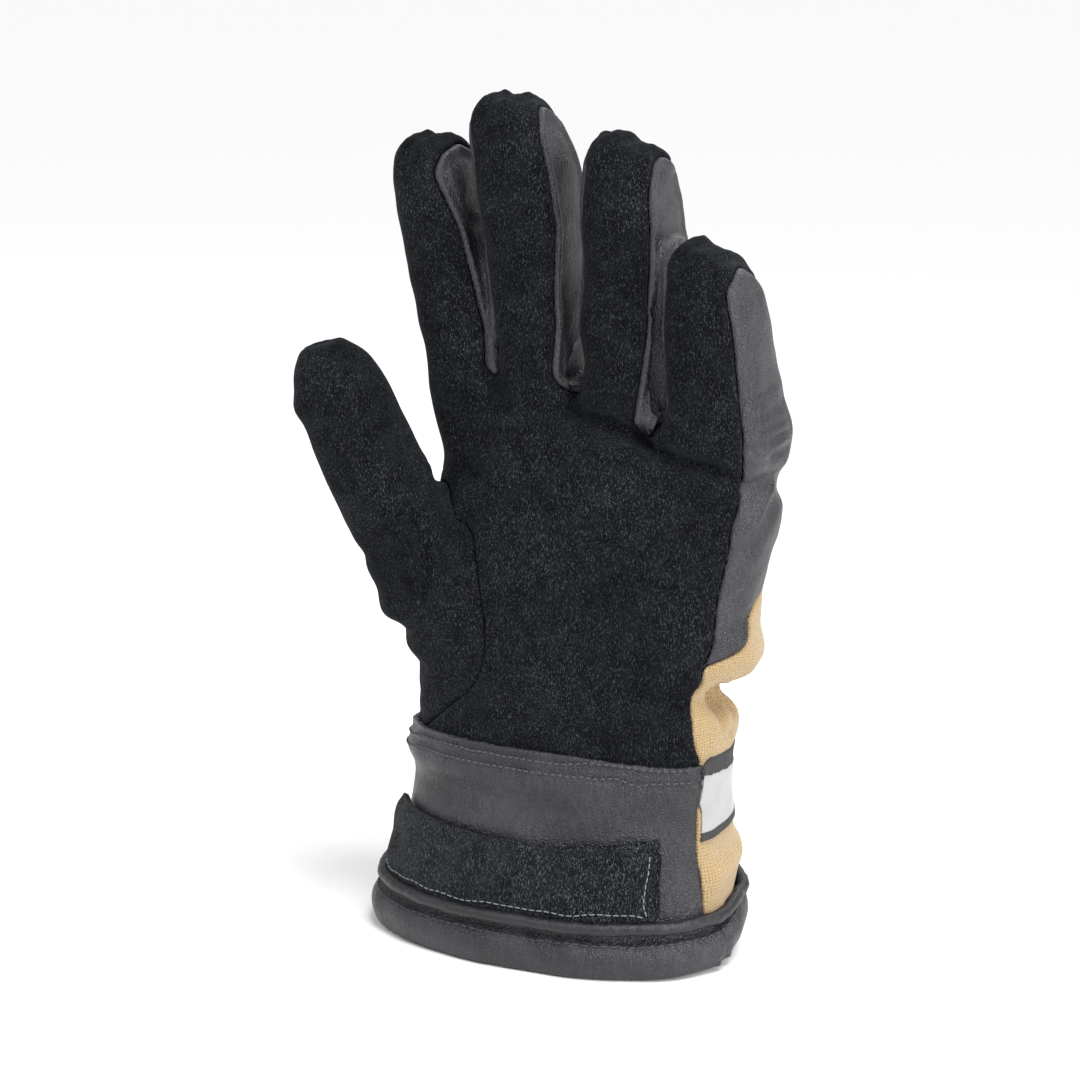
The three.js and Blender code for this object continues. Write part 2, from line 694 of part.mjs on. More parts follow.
function toMesh(name, manifold, finish) {
  const { vertProperties, triVerts, numProp } = manifold.getMesh();
  const geometry = new THREE.BufferGeometry();
  geometry.setAttribute('position', new THREE.Float32BufferAttribute(vertProperties, numProp));
  geometry.setIndex(Array.from(triVerts));
  geometry.computeVertexNormals();
  const mesh = new THREE.Mesh(geometry, new THREE.MeshStandardMaterial(finish));
  mesh.name = name;
  return mesh;
}

const glove = new THREE.Group();
glove.name = 'firefighter_glove';
glove.add(
  toMesh('palm_panel', palm, COLOURS.suede),
  toMesh('back_panel', back, COLOURS.knit),
  toMesh('index_middle_fourchette', fourchettes[0], COLOURS.leather),
  toMesh('middle_ring_fourchette', fourchettes[1], COLOURS.leather),
  toMesh('ring_little_fourchette', fourchettes[2], COLOURS.leather),
  toMesh('little_side_gusset', gusset, COLOURS.leather),
  toMesh('thumb_front', thumbFront, COLOURS.suede),
  toMesh('thumb_back', thumbBack, COLOURS.suede),
  toMesh('wrist_cuff', cuff, COLOURS.leather),
  toMesh('strap_patch', strap, COLOURS.suede),
  toMesh('reflective_band', band, COLOURS.silver),
  toMesh('band_edge_top', edgeTop, COLOURS.edging),
  toMesh('band_edge_bottom', edgeLow, COLOURS.edging),
  toMesh('cuff_piping', piping(), COLOURS.leather),
  toMesh('cuff_hem', hem, COLOURS.leather),
);

export default glove;
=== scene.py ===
import math

import bpy
import numpy as np
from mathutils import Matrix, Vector, noise
from mathutils.bvhtree import BVHTree
from mathutils.kdtree import KDTree


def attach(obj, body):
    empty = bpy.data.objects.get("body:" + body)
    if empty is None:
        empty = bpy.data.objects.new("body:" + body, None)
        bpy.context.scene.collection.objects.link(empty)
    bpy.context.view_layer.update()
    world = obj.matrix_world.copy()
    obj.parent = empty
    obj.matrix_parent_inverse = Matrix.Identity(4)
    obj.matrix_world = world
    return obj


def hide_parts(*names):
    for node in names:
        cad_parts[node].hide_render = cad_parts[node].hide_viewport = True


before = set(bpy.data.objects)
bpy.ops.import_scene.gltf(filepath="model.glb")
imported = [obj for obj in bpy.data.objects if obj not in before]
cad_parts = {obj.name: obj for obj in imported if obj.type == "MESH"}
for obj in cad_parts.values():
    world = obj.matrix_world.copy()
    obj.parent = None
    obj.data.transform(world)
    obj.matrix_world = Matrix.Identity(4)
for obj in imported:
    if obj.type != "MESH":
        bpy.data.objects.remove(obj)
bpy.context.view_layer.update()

# The sewn shell: suede, leather and knit panels stitched edge to edge into one padded skin.
# It is shaped whole, as a worn hand fills it, with its folds and gathers, and then parted
# along its seams into the panels that the next sections finish. Lengths are millimetres.
WRIST_Z = 58.0
HEM_Z = 14.0
MOUTH = {
    "y": [-45.0, -20.0, -9.0, 0.0, 9.0, 20.0, 45.0],
    "z": [-9.0, -8.0, -7.6, -5.4, -2.4, -0.4, 4.0],
}
BODY_SQUARENESS = 2.35
FINGER_SQUARENESS = 3.1
VOXEL = 1.25

BODY = {
    "z":    [0.0, 5.8, 11.0, 14.0, 18.6, 29.0, 45.0, 58.0, 66.0, 73.0, 81.0, 88.0, 97.0, 112.0, 128.0,
            148.5, 163.5, 171.7, 174.0],
    "x":    [-0.9, -0.9, -0.9, -0.6, 0.5, 2.4, 4.6, 4.8, 5.0, 4.6, 3.2, 7.3, 8.5, 9.5, 11.5, 15.1, 18.2,
            16.3, 14.5],
    "y":    [0.0, 0.0, 0.0, 0.0, 0.0, 0.0, 0.0, 0.0, 0.5, 1.0, 2.0, 2.5, 3.0, 4.0, 5.0, 6.5, 6.5, 6.5, 6.5],
    "a":    [64.4, 66.0, 65.0, 61.4, 61.0, 57.4, 55.0, 56.0, 56.6, 56.0, 52.6, 57.3, 59.2, 59.0, 59.2,
            60.2, 59.8, 52.6, 44.8],
    "b":    [40.0, 41.0, 40.4, 38.3, 38.1, 35.7, 32.8, 31.8, 31.4, 30.4, 28.6, 28.4, 27.4, 25.8, 24.2,
            21.8, 19.3, 14.5, 9.0],
    "fall": [0.0] * 14 + [0.0, 1.2, 4.0, 5.8, 6.4],
}
FINGERS = {
    "index":  {"x": -29.4, "lean": -13.1, "z": 143.8, "length": 114.0, "curl": 19.4, "a": 14.1, "b": 14.9},
    "middle": {"x": -4.2, "lean": -6.9, "z": 146.2, "length": 125.0, "curl": 22.5, "a": 14.5, "b": 15.2},
    "ring":   {"x": 24.6, "lean": 4.6, "z": 142.7, "length": 118.0, "curl": 21.2, "a": 14.9, "b": 15.6},
    "little": {"x": 59.8, "lean": -4.8, "z": 128.8, "length": 99.0, "curl": 16.8, "a": 15.4, "b": 16.2,
            "taper": 0.08},
}
FINGER_Y = 7.0
FINGER_FORM = {
    "t":    [0.0, 0.12, 0.28, 0.45, 0.65, 0.81, 0.90, 0.955, 0.985, 1.0],
    "wide": [0.72, 0.97, 1.02, 1.00, 0.98, 0.97, 0.945, 0.88, 0.74, 0.55],
    "deep": [0.60, 1.00, 1.16, 1.10, 1.03, 0.95, 0.83, 0.66, 0.46, 0.28],
}
THUMB = {
    "t":    [0.0, 0.36, 0.69, 1.0],
    "x":    [-26.6, -45.4, -57.5, -67.8],
    "y":    [-2.5, -16.0, -28.0, -37.0],
    "z":    [81.2, 123.0, 157.8, 192.0],
}
THUMB_FORM = {
    "t":    [0.0, 0.25, 0.5, 0.75, 0.86, 0.93, 0.975, 1.0],
    "wide": [1.1, 1.08, 0.94, 0.93, 0.92, 0.84, 0.68, 0.46],
    "deep": [1.0, 1.12, 1.04, 0.95, 0.84, 0.7, 0.48, 0.28],
}
THUMB_A = 14.75
THUMB_B = 15.5


def smooth(low, high, value):
    share = np.clip((value - low) / (high - low), 0, 1)
    return share * share * (3 - 2 * share)


def along(table, key, at, name, blur):
    """One column of a table along another, its corners rounded by the blur."""
    steps = (-1.0, -0.5, 0.0, 0.5, 1.0)
    return sum(np.interp(at + blur * s, table[key], table[name]) for s in steps) / len(steps)


def oval(a, b, squareness, angle):
    c, s = np.cos(angle), np.sin(angle)
    power = 2 / squareness
    return a * np.sign(c) * abs(c) ** power, b * np.sign(s) * abs(s) ** power


def mouth_rise(y, z):
    """How much higher the slanting mouth stands at a depth, fading out at the wrist."""
    fade = 1 - smooth(HEM_Z, WRIST_Z, z)
    return along(MOUTH, "y", y, "z", 4.0) * fade


def body_at(z):
    return [along(BODY, "z", z, name, 1.5) for name in ("x", "y", "a", "b", "fall")]


def body_point(z, angle, offset=0.0):
    """Places on the body at heights above the mouth and turns about it, 0 facing right."""
    cx, cy, a, b, fall = body_at(z)
    u, v = oval(a + offset, b + offset, BODY_SQUARENESS, angle)
    x, y = cx + u, cy + v
    return np.stack([x, y, z + mouth_rise(y, z) - fall * u / a], -1)


def digit_frame(name, t):
    """Centre, the right, front and onward directions, and the half sizes of a finger or thumb."""
    t = np.asarray(t, float)
    if name == "thumb":
        fits = [np.polyfit(THUMB["t"], THUMB[k], 3) for k in "xyz"]
        centre = np.stack([np.polyval(f, t) for f in fits], -1)
        onward = np.stack([np.polyval(np.polyder(f), t) for f in fits], -1)
        a = THUMB_A * along(THUMB_FORM, "t", t, "wide", 0.02)
        b = THUMB_B * along(THUMB_FORM, "t", t, "deep", 0.02)
    else:
        f = FINGERS[name]
        centre = np.stack([f["x"] + f["lean"] * t, FINGER_Y - f["curl"] * t * t, f["z"] + f["length"] * t], -1)
        onward = np.stack([f["lean"] + 0 * t, -2 * f["curl"] * t, f["length"] + 0 * t], -1)
        a = f["a"] * along(FINGER_FORM, "t", t, "wide", 0.012) * (1 - f.get("taper", 0.0) * smooth(0.5, 0.9, t))
        b = f["b"] * along(FINGER_FORM, "t", t, "deep", 0.012)
    onward = onward / np.linalg.norm(onward, axis=-1, keepdims=True)
    right = np.array([1.0, 0, 0]) - onward[..., :1] * onward
    right = right / np.linalg.norm(right, axis=-1, keepdims=True)
    return centre, right, np.cross(right, onward), onward, a, b


def digit_places(name, co):
    """Where places lie in a finger: along it, and rightward and forward in half sizes."""
    low, high = digit_frame(name, 0.0)[0], digit_frame(name, 1.0)[0]
    length = np.linalg.norm(high - low)
    t = np.clip((co - low) @ (high - low) / length ** 2, -0.2, 1.1)
    for _ in range(4):
        centre, right, front, onward, a, b = digit_frame(name, t)
        t = np.clip(t + np.sum((co - centre) * onward, -1) / length, -0.2, 1.1)
    off = co - centre
    return t, np.sum(off * right, -1) / a, np.sum(off * front, -1) / b, a, b


def tube(rings):
    """Corners and faces of a closed tube through rings of places."""
    count, sides = len(rings), len(rings[0])
    places = np.concatenate([*rings, [rings[0].mean(0)], [rings[-1].mean(0)]])
    faces = []
    for i in range(count - 1):
        for j in range(sides):
            k = (j + 1) % sides
            faces.append((i * sides + j, i * sides + k, (i + 1) * sides + k, (i + 1) * sides + j))
    for j in range(sides):
        k = (j + 1) % sides
        faces.append((k, j, count * sides))
        faces.append(((count - 1) * sides + j, (count - 1) * sides + k, count * sides + 1))
    return places, faces


def object_from(name, places, faces, scale=0.001):
    mesh = bpy.data.meshes.new(name)
    mesh.from_pydata((np.asarray(places) * scale).tolist(), [],
            np.asarray(faces).tolist() if not isinstance(faces, list) else faces)
    made = bpy.data.objects.new(name, mesh)
    bpy.context.scene.collection.objects.link(made)
    return made


def only(*chosen):
    bpy.ops.object.select_all(action="DESELECT")
    for one in chosen:
        one.select_set(True)
    bpy.context.view_layer.objects.active = chosen[0]


def apply_modifier(made, kind, **settings):
    modifier = made.modifiers.new(kind.lower(), kind)
    for key, value in settings.items():
        setattr(modifier, key, value)
    only(made)
    bpy.ops.object.modifier_apply(modifier=modifier.name)


body_turn = np.linspace(0, 2 * math.pi, 96, endpoint=False)
body_heights = np.concatenate([np.arange(-6.0, 171, 2.5), [172.0, 173.2, 174.0]])
tubes = [tube([body_point(np.full(96, z), body_turn) for z in body_heights])]
for digit in [*FINGERS, "thumb"]:
    turn = np.linspace(0, 2 * math.pi, 48, endpoint=False)
    rings = []
    for t in [*np.linspace(0, 0.92, 40), 0.94, 0.96, 0.975, 0.985, 0.993, 1.0]:
        centre, right, front, onward, a, b = digit_frame(digit, t)
        u, v = oval(a, b, FINGER_SQUARENESS, turn)
        rings.append(centre + np.outer(u, right) - np.outer(v, front))
    tubes.append(tube(rings))
parts = [object_from("tube", places, faces, 1.0) for places, faces in tubes]
only(*parts)
bpy.ops.object.join()
stuffed = parts[0]
apply_modifier(stuffed, "REMESH", mode="VOXEL", voxel_size=VOXEL)
apply_modifier(stuffed, "TRIANGULATE")

co = np.zeros(len(stuffed.data.vertices) * 3)
stuffed.data.vertices.foreach_get("co", co)
co = co.reshape(-1, 3)
tris = np.zeros(len(stuffed.data.polygons) * 3, int)
stuffed.data.polygons.foreach_get("vertices", tris)
tris = tris.reshape(-1, 3)
bpy.data.objects.remove(stuffed)


def edges_of(faces):
    pairs = np.sort(np.concatenate([faces[:, [0, 1]], faces[:, [1, 2]], faces[:, [2, 0]]]), axis=1)
    return np.unique(pairs, axis=0, return_inverse=True, return_counts=True)


def relax(values, pairs, share, steps):
    """Draws each corner towards the middle of its neighbours, by its share."""
    n = len(values)
    degree = np.bincount(pairs.ravel(), minlength=n)
    for _ in range(steps):
        middle = np.stack([
            np.bincount(pairs[:, 0], values[pairs[:, 1], k], n) + np.bincount(pairs[:, 1],
                    values[pairs[:, 0], k], n)
            for k in range(values.shape[1])], -1) / degree[:, None]
        values = values + (middle - values) * share
    return values


def normals_of(places, faces):
    cross = np.cross(places[faces[:, 1]] - places[faces[:, 0]], places[faces[:, 2]] - places[faces[:, 0]])
    total = np.stack([sum(np.bincount(faces[:, c], cross[:, k],
            len(places)) for c in range(3)) for k in range(3)], -1)
    return total / (np.linalg.norm(total, axis=1, keepdims=True) + 1e-12)


# Where two tubes meet, the cloth bridges the corner in a soft curve.
def tube_distances(places):
    cx, cy, a, b, fall = body_at(places[:, 2])
    radial = ((abs(places[:, 0] - cx) / a) ** BODY_SQUARENESS + (abs(places[:, 1] - cy) / b) ** BODY_SQUARENESS)
    found = [np.maximum((radial ** (1 / BODY_SQUARENESS) - 1) * b, places[:, 2] - BODY["z"][-1])]
    for name in [*FINGERS, "thumb"]:
        t, u, v, a, b = digit_places(name, places)
        radial = (abs(u) ** FINGER_SQUARENESS + abs(v) ** FINGER_SQUARENESS) ** (1 / FINGER_SQUARENESS)
        length = 110.0
        found.append(np.maximum((radial - 1) * np.minimum(a, b), np.maximum(-t, t - 1) * length))
    return np.stack(found, -1)


pairs = edges_of(tris)[0]
co = relax(co, pairs, 0.5, 4)
gaps = np.sort(abs(tube_distances(co)), axis=1)
corner = relax(np.exp(-(gaps[:, 1:2] / 4.5) ** 2), pairs, 0.5, 6)
co = relax(co, pairs, 0.62 * corner, 26)
rest = co.copy()

digits = {name: digit_places(name, rest) for name in [*FINGERS, "thumb"]}
level = rest[:, 2].copy()
for _ in range(4):
    level = rest[:, 2] - mouth_rise(rest[:, 1], level)
normal = normals_of(co, tris)

# Folds, dents and gathers: a line from one place to another on one side of the glove, its
# bend sideways, its width and its height, below nought for a hollow.
FOLDS = {
    "side":   [], "from": [], "to": [], "bend": [], "width": [], "height": [],
}


def fold(side, start, end, bend, width, height):
    for key, value in zip(FOLDS, (side, start, end, bend, width, height)):
        FOLDS[key].append(value)


# Palm: the crease under the fingers, the valley by the thumb and the hollow of the hand.
fold("front", (11, 171), (36, 164), 1.5, 2.4, -3.2)
fold("front", (33, 165), (60, 156.5), -1, 2.4, -4.6)
fold("front", (24, 160), (58, 151), 0, 4.0, 1.8)
fold("front", (32, 172), (54, 164), 0, 4.0, 1.2)
fold("front", (-10, 165), (20, 158), 3, 6.0, 1.2)
fold("front", (8, 128), (14, 98), 0, 20.0, -2.4)
fold("front", (-2, 145), (24, 142), -3, 7.0, 0.8)
fold("front", (-37, 134), (-37, 108), 3, 2.6, -3.8)
fold("front", (-31, 148), (-26, 146), 0, 4.5, -3.4)
fold("front", (-26, 144), (-14, 152), 0, 4.0, 0.9)
fold("front", (-30, 128), (-27, 100), 4, 3.5, 0.9)
fold("front", (-18, 82), (22, 79), 2, 5.0, -0.9)
# Index finger's outer side: pinched above the web.
fold("left", (2, 168), (16, 172), 0, 5.0, -1.6)
fold("left", (-4, 188), (12, 192), 0, 6.0, -2.0)
# Thumb: the corner where its seams meet, the dent below and the end of its padding.
fold("thumb_left", (0.86, -0.9), (0.86, 0.9), 0, 4.0, 1.7)
fold("thumb_left", (0.42, -0.9), (0.42, 0.9), 0, 3.6, -1.4)
fold("thumb_left", (0.27, -0.9), (0.25, 0.9), 0, 4.5, 1.8)
fold("left", (-26, 95), (12, 95), 0, 3.4, -2.6)
fold("front", (-62, 92), (-44, 82), 0, 2.6, -1.8)
fold("front", (-62, 98), (-42, 88), 0, 4.0, 1.1)
# Little finger's edge: the leather buckles at the knuckle, and bulges above and below it.
fold("right", (-10, 164), (12, 167), 1.5, 1.4, -1.0)
fold("right", (-10, 158), (8, 162), 1.0, 1.4, -0.9)
fold("right", (-9, 152), (4, 157), -1.0, 1.3, -0.7)
fold("right", (-6, 170), (12, 171), 0.5, 1.3, -0.7)
fold("right", (-8, 161), (10, 164.5), 1.0, 1.5, 0.6)
fold("right", (-10, 174), (12, 176), 0, 1.6, -0.5)
fold("right", (-9, 181), (8, 183), 0, 1.4, -0.4)
fold("right", (-6, 167), (18, 167), 0, 8.0, 2.6)
fold("right", (-8, 150), (20, 152), 1, 5.5, -2.8)
fold("right", (-14, 150), (-4, 160), 0, 2.6, 1.2)
fold("right", (-4, 144), (18, 147), 0, 4.0, -1.6)
fold("right", (-8, 134), (4, 149), 1.5, 2.2, 1.8)
fold("right", (-3, 131), (6, 143), 1.5, 2.6, -0.8)
fold("right", (-6, 128), (16, 130), 0, 10.0, 1.0)
fold("right", (-9, 104), (6, 112), 0, 2.0, -0.8)
fold("right", (-5, 100), (6, 106), 0, 1.8, 0.6)
fold("right", (-11, 118), (0, 122), 0, 2.2, -0.5)
# The knit pinched in at the wrist, with a bulge on each side of the pinch.
fold("right", (-4, 81), (26, 80), 0, 2.6, -2.6)
fold("right", (2, 93), (26, 96), 0, 6.0, 2.6)
fold("right", (-2, 72), (22, 70), 0, 4.5, 1.6)
fold("right", (0, 79), (-3, 71), 0, 1.8, -2.4)
fold("right", (8, 76), (3, 69), 0.5, 2.0, -1.8)
fold("right", (8, 69), (-5, 67), 1.5, 1.8, -1.0)
fold("right", (-6, 85), (8, 80), 0, 1.6, -1.4)
fold("right", (-8, 27), (30, 27), 0, 5.0, 3.0)
fold("right", (-10, 60), (34, 59), 0, 3.0, -2.0)
fold("right", (-10, 51), (34, 50), 0, 5.0, -1.2)
fold("right", (-4, 33), (14, 31), 0, 2.2, -0.8)
# The cuff: soft rolls in the leather left of its middle.
fold("front", (-50, 54), (-20, 50), 0, 4.0, 0.8)
fold("front", (-44, 46), (-10, 46), 1, 3.6, -1.1)
fold("front", (-30, 52), (-14, 57), 0, 3.0, 0.5)
fold("front", (-40, 36), (0, 38), 0, 4.0, 0.8)
fold("front", (10, 50), (44, 50), 0, 8.0, 0.6)
fold("left", (-24, 46), (16, 45), 0, 5.0, 0.9)
fold("left", (-20, 55), (16, 54), 0, 3.0, 0.6)
fold("left", (-16, 65), (16, 66), 0, 4.0, -1.6)
fold("left", (-12, 71), (14, 71), 0, 3.5, -1.2)
fold("left", (-12, 84), (14, 84), 0, 4.0, 2.3)

side_of = {
    "front": (rest[:, [0, 2]], smooth(-0.1, 0.5, -normal[:, 1])),
    "right": (np.stack([rest[:, 1], level], -1), smooth(0.05, 0.6, normal[:, 0])),
    "left": (np.stack([rest[:, 1], level], -1), smooth(0.05, 0.6, -normal[:, 0])),
    "thumb_left": (np.stack([digits["thumb"][0] * 115, digits["thumb"][2] * 12], -1),
                   smooth(0.25, 0.9, -digits["thumb"][1]) * smooth(1.35, 1.15, abs(digits["thumb"][1]))),
}
lift = np.zeros(len(co))
for side, start, end, bend, width, height in zip(*FOLDS.values()):
    place, share = side_of[side]
    start, end = np.array(start, float), np.array(end, float)
    if side == "thumb_left":
        start, end = start * (115, 12), end * (115, 12)
    run = end - start
    s = np.clip((place - start) @ run / (run @ run), 0, 1)
    across = np.array([-run[1], run[0]]) / np.linalg.norm(run)
    nearest = start + s[:, None] * run + (4 * s * (1 - s) * bend)[:, None] * across
    lift += height * share * np.exp(-np.sum((place - nearest) ** 2, -1) / width ** 2)

# The back is gathered on an elastic at the wrist, and every seamed fingertip puckers.
turn_about = np.arctan2(rest[:, 1] - 2, rest[:, 0] - 5)
knit_side = smooth(-4, 6, rest[:, 1] + 6)
gather = np.exp(-((level - 81) / 8.0) ** 2) * knit_side
lift += gather * (1.1 * np.sin(turn_about * 34 + 1.5 * np.sin(level * 0.35)) - 1.2)
for name in FINGERS:
    t, u, v, a, b = digits[name]
    here = (abs(u) < 1.25) * smooth(0.9, 0.97, t)
    lift += here * (0.6 * np.sin(u * 6.5 + v * 2 + len(name)) + 0.35 * np.sin(u * 14 + 2 * len(name)))

hem_part = smooth(19, 15, level)
from_join = (turn_about - math.atan2(-9, 56)) * 62
lift += hem_part * (
    -1.0 * np.exp(-(from_join / 1.1) ** 2)
    + 0.5 * np.exp(-((abs(from_join) - 3.2) / 1.8) ** 2) * (1 + np.sin(level * 1.9)))
lift += hem_part * (0.8 * np.exp(-((level - 6.5) / 4.5) ** 2) - 1.5 * np.exp(-((level - 13.6) / 1.7) ** 2))
lift += hem_part * 0.35 * np.sin(turn_about * 21 + 2 * np.sin(turn_about * 5)) * smooth(6, 13, level)

lumps = np.array([
    (noise.noise(Vector(p) * 0.05), noise.noise(Vector(p) * 0.14 + Vector((7, 3, 1)))) for p in rest])
lift += 0.75 * lumps[:, 0] + 0.32 * lumps[:, 1]
co = co + normal * lift[:, None]
# Each fingertip falls away towards the little finger's side.
for name, drop in (("index", 1.2), ("middle", 1.0), ("ring", 4.6), ("little", 6.0)):
    t, u, v, a, b = digits[name]
    co[:, 2] -= drop * smooth(-0.6, 1.1, u) * smooth(0.72, 1.0, t) * (abs(u) < 1.3) * (abs(v) < 1.4)
for name, side, low, high, far in (("middle", 1, 0.5, 1.02, 2.6), ("ring", -1, -0.1, 0.75, 2.0),
        ("little", -1, 0.05, 0.95, 2.4)):
    t, u, v, a, b = digits[name]
    here = smooth(low, low + 0.2, t) * smooth(high, high - 0.25, t) * smooth(-0.1, 0.8,
            u * side) * (abs(u) < 1.25) * (abs(v) < 1.35)
    co[:, 0] += side * far * here
co = relax(co, pairs, 0.5, 1)

# Arc about the glove from the middle of its back, for cloth that follows the surface.
ring_turn = np.linspace(-0.5 * math.pi, 1.5 * math.pi, 400)
ring_x, ring_y = oval(1.0, 0.45, BODY_SQUARENESS, ring_turn)
ring_arc = np.concatenate([[0], np.cumsum(np.hypot(np.diff(ring_x), np.diff(ring_y)))])
ring_arc -= np.interp(0.5 * math.pi, ring_turn, ring_arc)
cx, cy, a, b, fall = body_at(level)
own_turn = np.arctan2((rest[:, 1] - cy) / b, (rest[:, 0] - cx) / a)
own_turn = np.where(own_turn < -0.5 * math.pi, own_turn + 2 * math.pi, own_turn)
arc = np.interp(own_turn, ring_turn, ring_arc) * 60


def part_rows(rows, faces, value):
    """Cuts a mesh where a value crosses nought. Rows hold all that a corner carries."""
    value = value.copy()
    rows = rows.copy()
    for _ in range(2):
        pairs, which, _count = edges_of(faces)
        a, b = pairs[:, 0], pairs[:, 1]
        crossing = value[a] * value[b] < 0
        share = np.where(crossing, value[a] / np.where(crossing, value[a] - value[b], 1), 0.5)
        for corners, others, s in ((a, b, share), (b, a, 1 - share)):
            near = crossing & (s < 0.18) & (value[corners] != 0) & (value[others] != 0)
            moved, first = np.unique(corners[near], return_index=True)
            to, by = others[near][first], s[near][first]
            rows[moved] += (rows[to] - rows[moved]) * by[:, None]
            value[moved] = 0
            crossing = value[a] * value[b] < 0
    share = value[a] / np.where(crossing, value[a] - value[b], 1)
    new_rows = rows[a] + (rows[b] - rows[a]) * share[:, None]
    number = np.full(len(pairs), -1)
    number[crossing] = len(rows) + np.arange(crossing.sum())
    rows = np.concatenate([rows, new_rows[crossing]])
    value = np.concatenate([value, np.zeros(crossing.sum())])
    m = len(faces)
    on = np.stack([number[which[:m]], number[which[m:2 * m]], number[which[2 * m:]]], -1)
    count = (on >= 0).sum(1)
    out = [faces[count == 0]]
    for turn in range(3):
        i, j, k = (turn % 3, (turn + 1) % 3, (turn + 2) % 3)
        ij, jk, ki = on[:, i], on[:, j], on[:, k]
        two = (count == 2) & (ij >= 0) & (ki >= 0)
        f = faces[two]
        out += [np.stack([f[:, i], ij[two], ki[two]], -1), np.stack([ij[two], f[:, j], f[:, k]], -1),
                np.stack([ij[two], f[:, k], ki[two]], -1)]
        one = (count == 1) & (jk >= 0)
        f = faces[one]
        out += [np.stack([f[:, i], f[:, j], jk[one]], -1), np.stack([f[:, i], jk[one], f[:, k]], -1)]
    return rows, np.concatenate(out), value


def compact(rows, faces):
    used, again = np.unique(faces, return_inverse=True)
    return rows[used], again.reshape(-1, 3)


def part(mesh, value):
    """The two sides of a mesh, above and below nought."""
    rows, faces, value = part_rows(*mesh, value)
    total = value[faces].sum(1)
    return compact(rows, faces[total > 0]), compact(rows, faces[total <= 0])


def largest(mesh, count=1):
    """The largest loose pieces of a mesh, the crumbs left out."""
    rows, faces = mesh
    pairs = edges_of(faces)[0]
    label = np.arange(len(rows))
    while True:
        low = np.minimum(label[pairs[:, 0]], label[pairs[:, 1]])
        new = label.copy()
        np.minimum.at(new, pairs[:, 0], low)
        np.minimum.at(new, pairs[:, 1], low)
        new = new[new]
        if (new == label).all():
            break
        label = new
    names, sizes = np.unique(label[faces[:, 0]], return_counts=True)
    best = names[np.argsort(-sizes)[:count]]
    return [compact(rows, faces[label[faces[:, 0]] == name]) for name in best]


# Seams. Each is a value in millimetres over the untouched form, nought along the stitching.
# The places in these tables were found from points picked along the photographed seams,
# then rounded, and many were moved.
# On a finger they lie at an angle from its side towards its front, by place along it.
FRONT_TURN = {
    "index":  {"t": [0.36, 0.46, 0.61, 0.75, 0.85, 0.93], "turn": [46, 40, 42, 45, 55, 66]},
    "middle": {"t": [0.31, 0.43, 0.54, 0.71, 0.81, 0.95], "turn": [58, 48, 44, 40, 38, 34]},
    "ring":   {"t": [0.24, 0.31, 0.52, 0.81, 0.90, 0.96], "turn": [70, 66, 53, 45, 45, 41]},
    "little": {"t": [0.31, 0.54, 0.77, 0.87, 0.95, 0.98], "turn": [52, 51, 47, 48, 50, 42]},
}
FAR_FRONT_TURN = 40
BACK_TURN = 49
INDEX_EDGE_TURN = 20
FORKS = {"x": [-18.4, 8.8, 36.2], "z": [180.5, 177.3, 166.0]}
GUSSET_FRONT = {"z": [88.0, 93.3, 102.2, 119.3, 130.0, 143.0, 157.0],
        "y": [-14.2, -14.0, -12.0, -10.2, -8.6, -8.9, -11.4]}
GUSSET_BACK = {"z": [88.0, 93.0, 94.8, 96.6, 100.0, 107.0, 112.0, 118.0, 126.0, 145.0],
        "y": [-14.2, -13.9, -11.0, -6.0, -1.0, 0.0, 6.0, 13.0, 17.5, 20.0]}
RIGHT_SEAM = {"z": [18.0, 36.0, 50.0, 60.0, 66.0, 72.0, 80.0, 86.0, 91.0],
        "y": [-13.0, -14.2, -13.4, -13.3, -15.2, -15.0, -11.5, -12.8, -14.1]}
LEFT_SEAM = {"z": [0.0, 58.0, 104.4, 139.2], "y": [5.0, 5.0, 7.5, 12.0]}
THUMB_SEAM = {
    "turn": [-179, -168, -161, -155, -151, -144, -138.5, -135, -133, -133.5, -137.4, -146, -154, -167,
            178, 167, 156, 160],
    "z":    [147, 141, 135, 132, 129, 117, 107, 101, 92, 84.5, 77.3, 69, 62, 56, 56, 75.4, 104.4, 130],
}


def soft_max(a, b, width):
    near = np.clip(width - abs(a - b), 0, None) / width
    return np.maximum(a, b) + near * near * width / 4


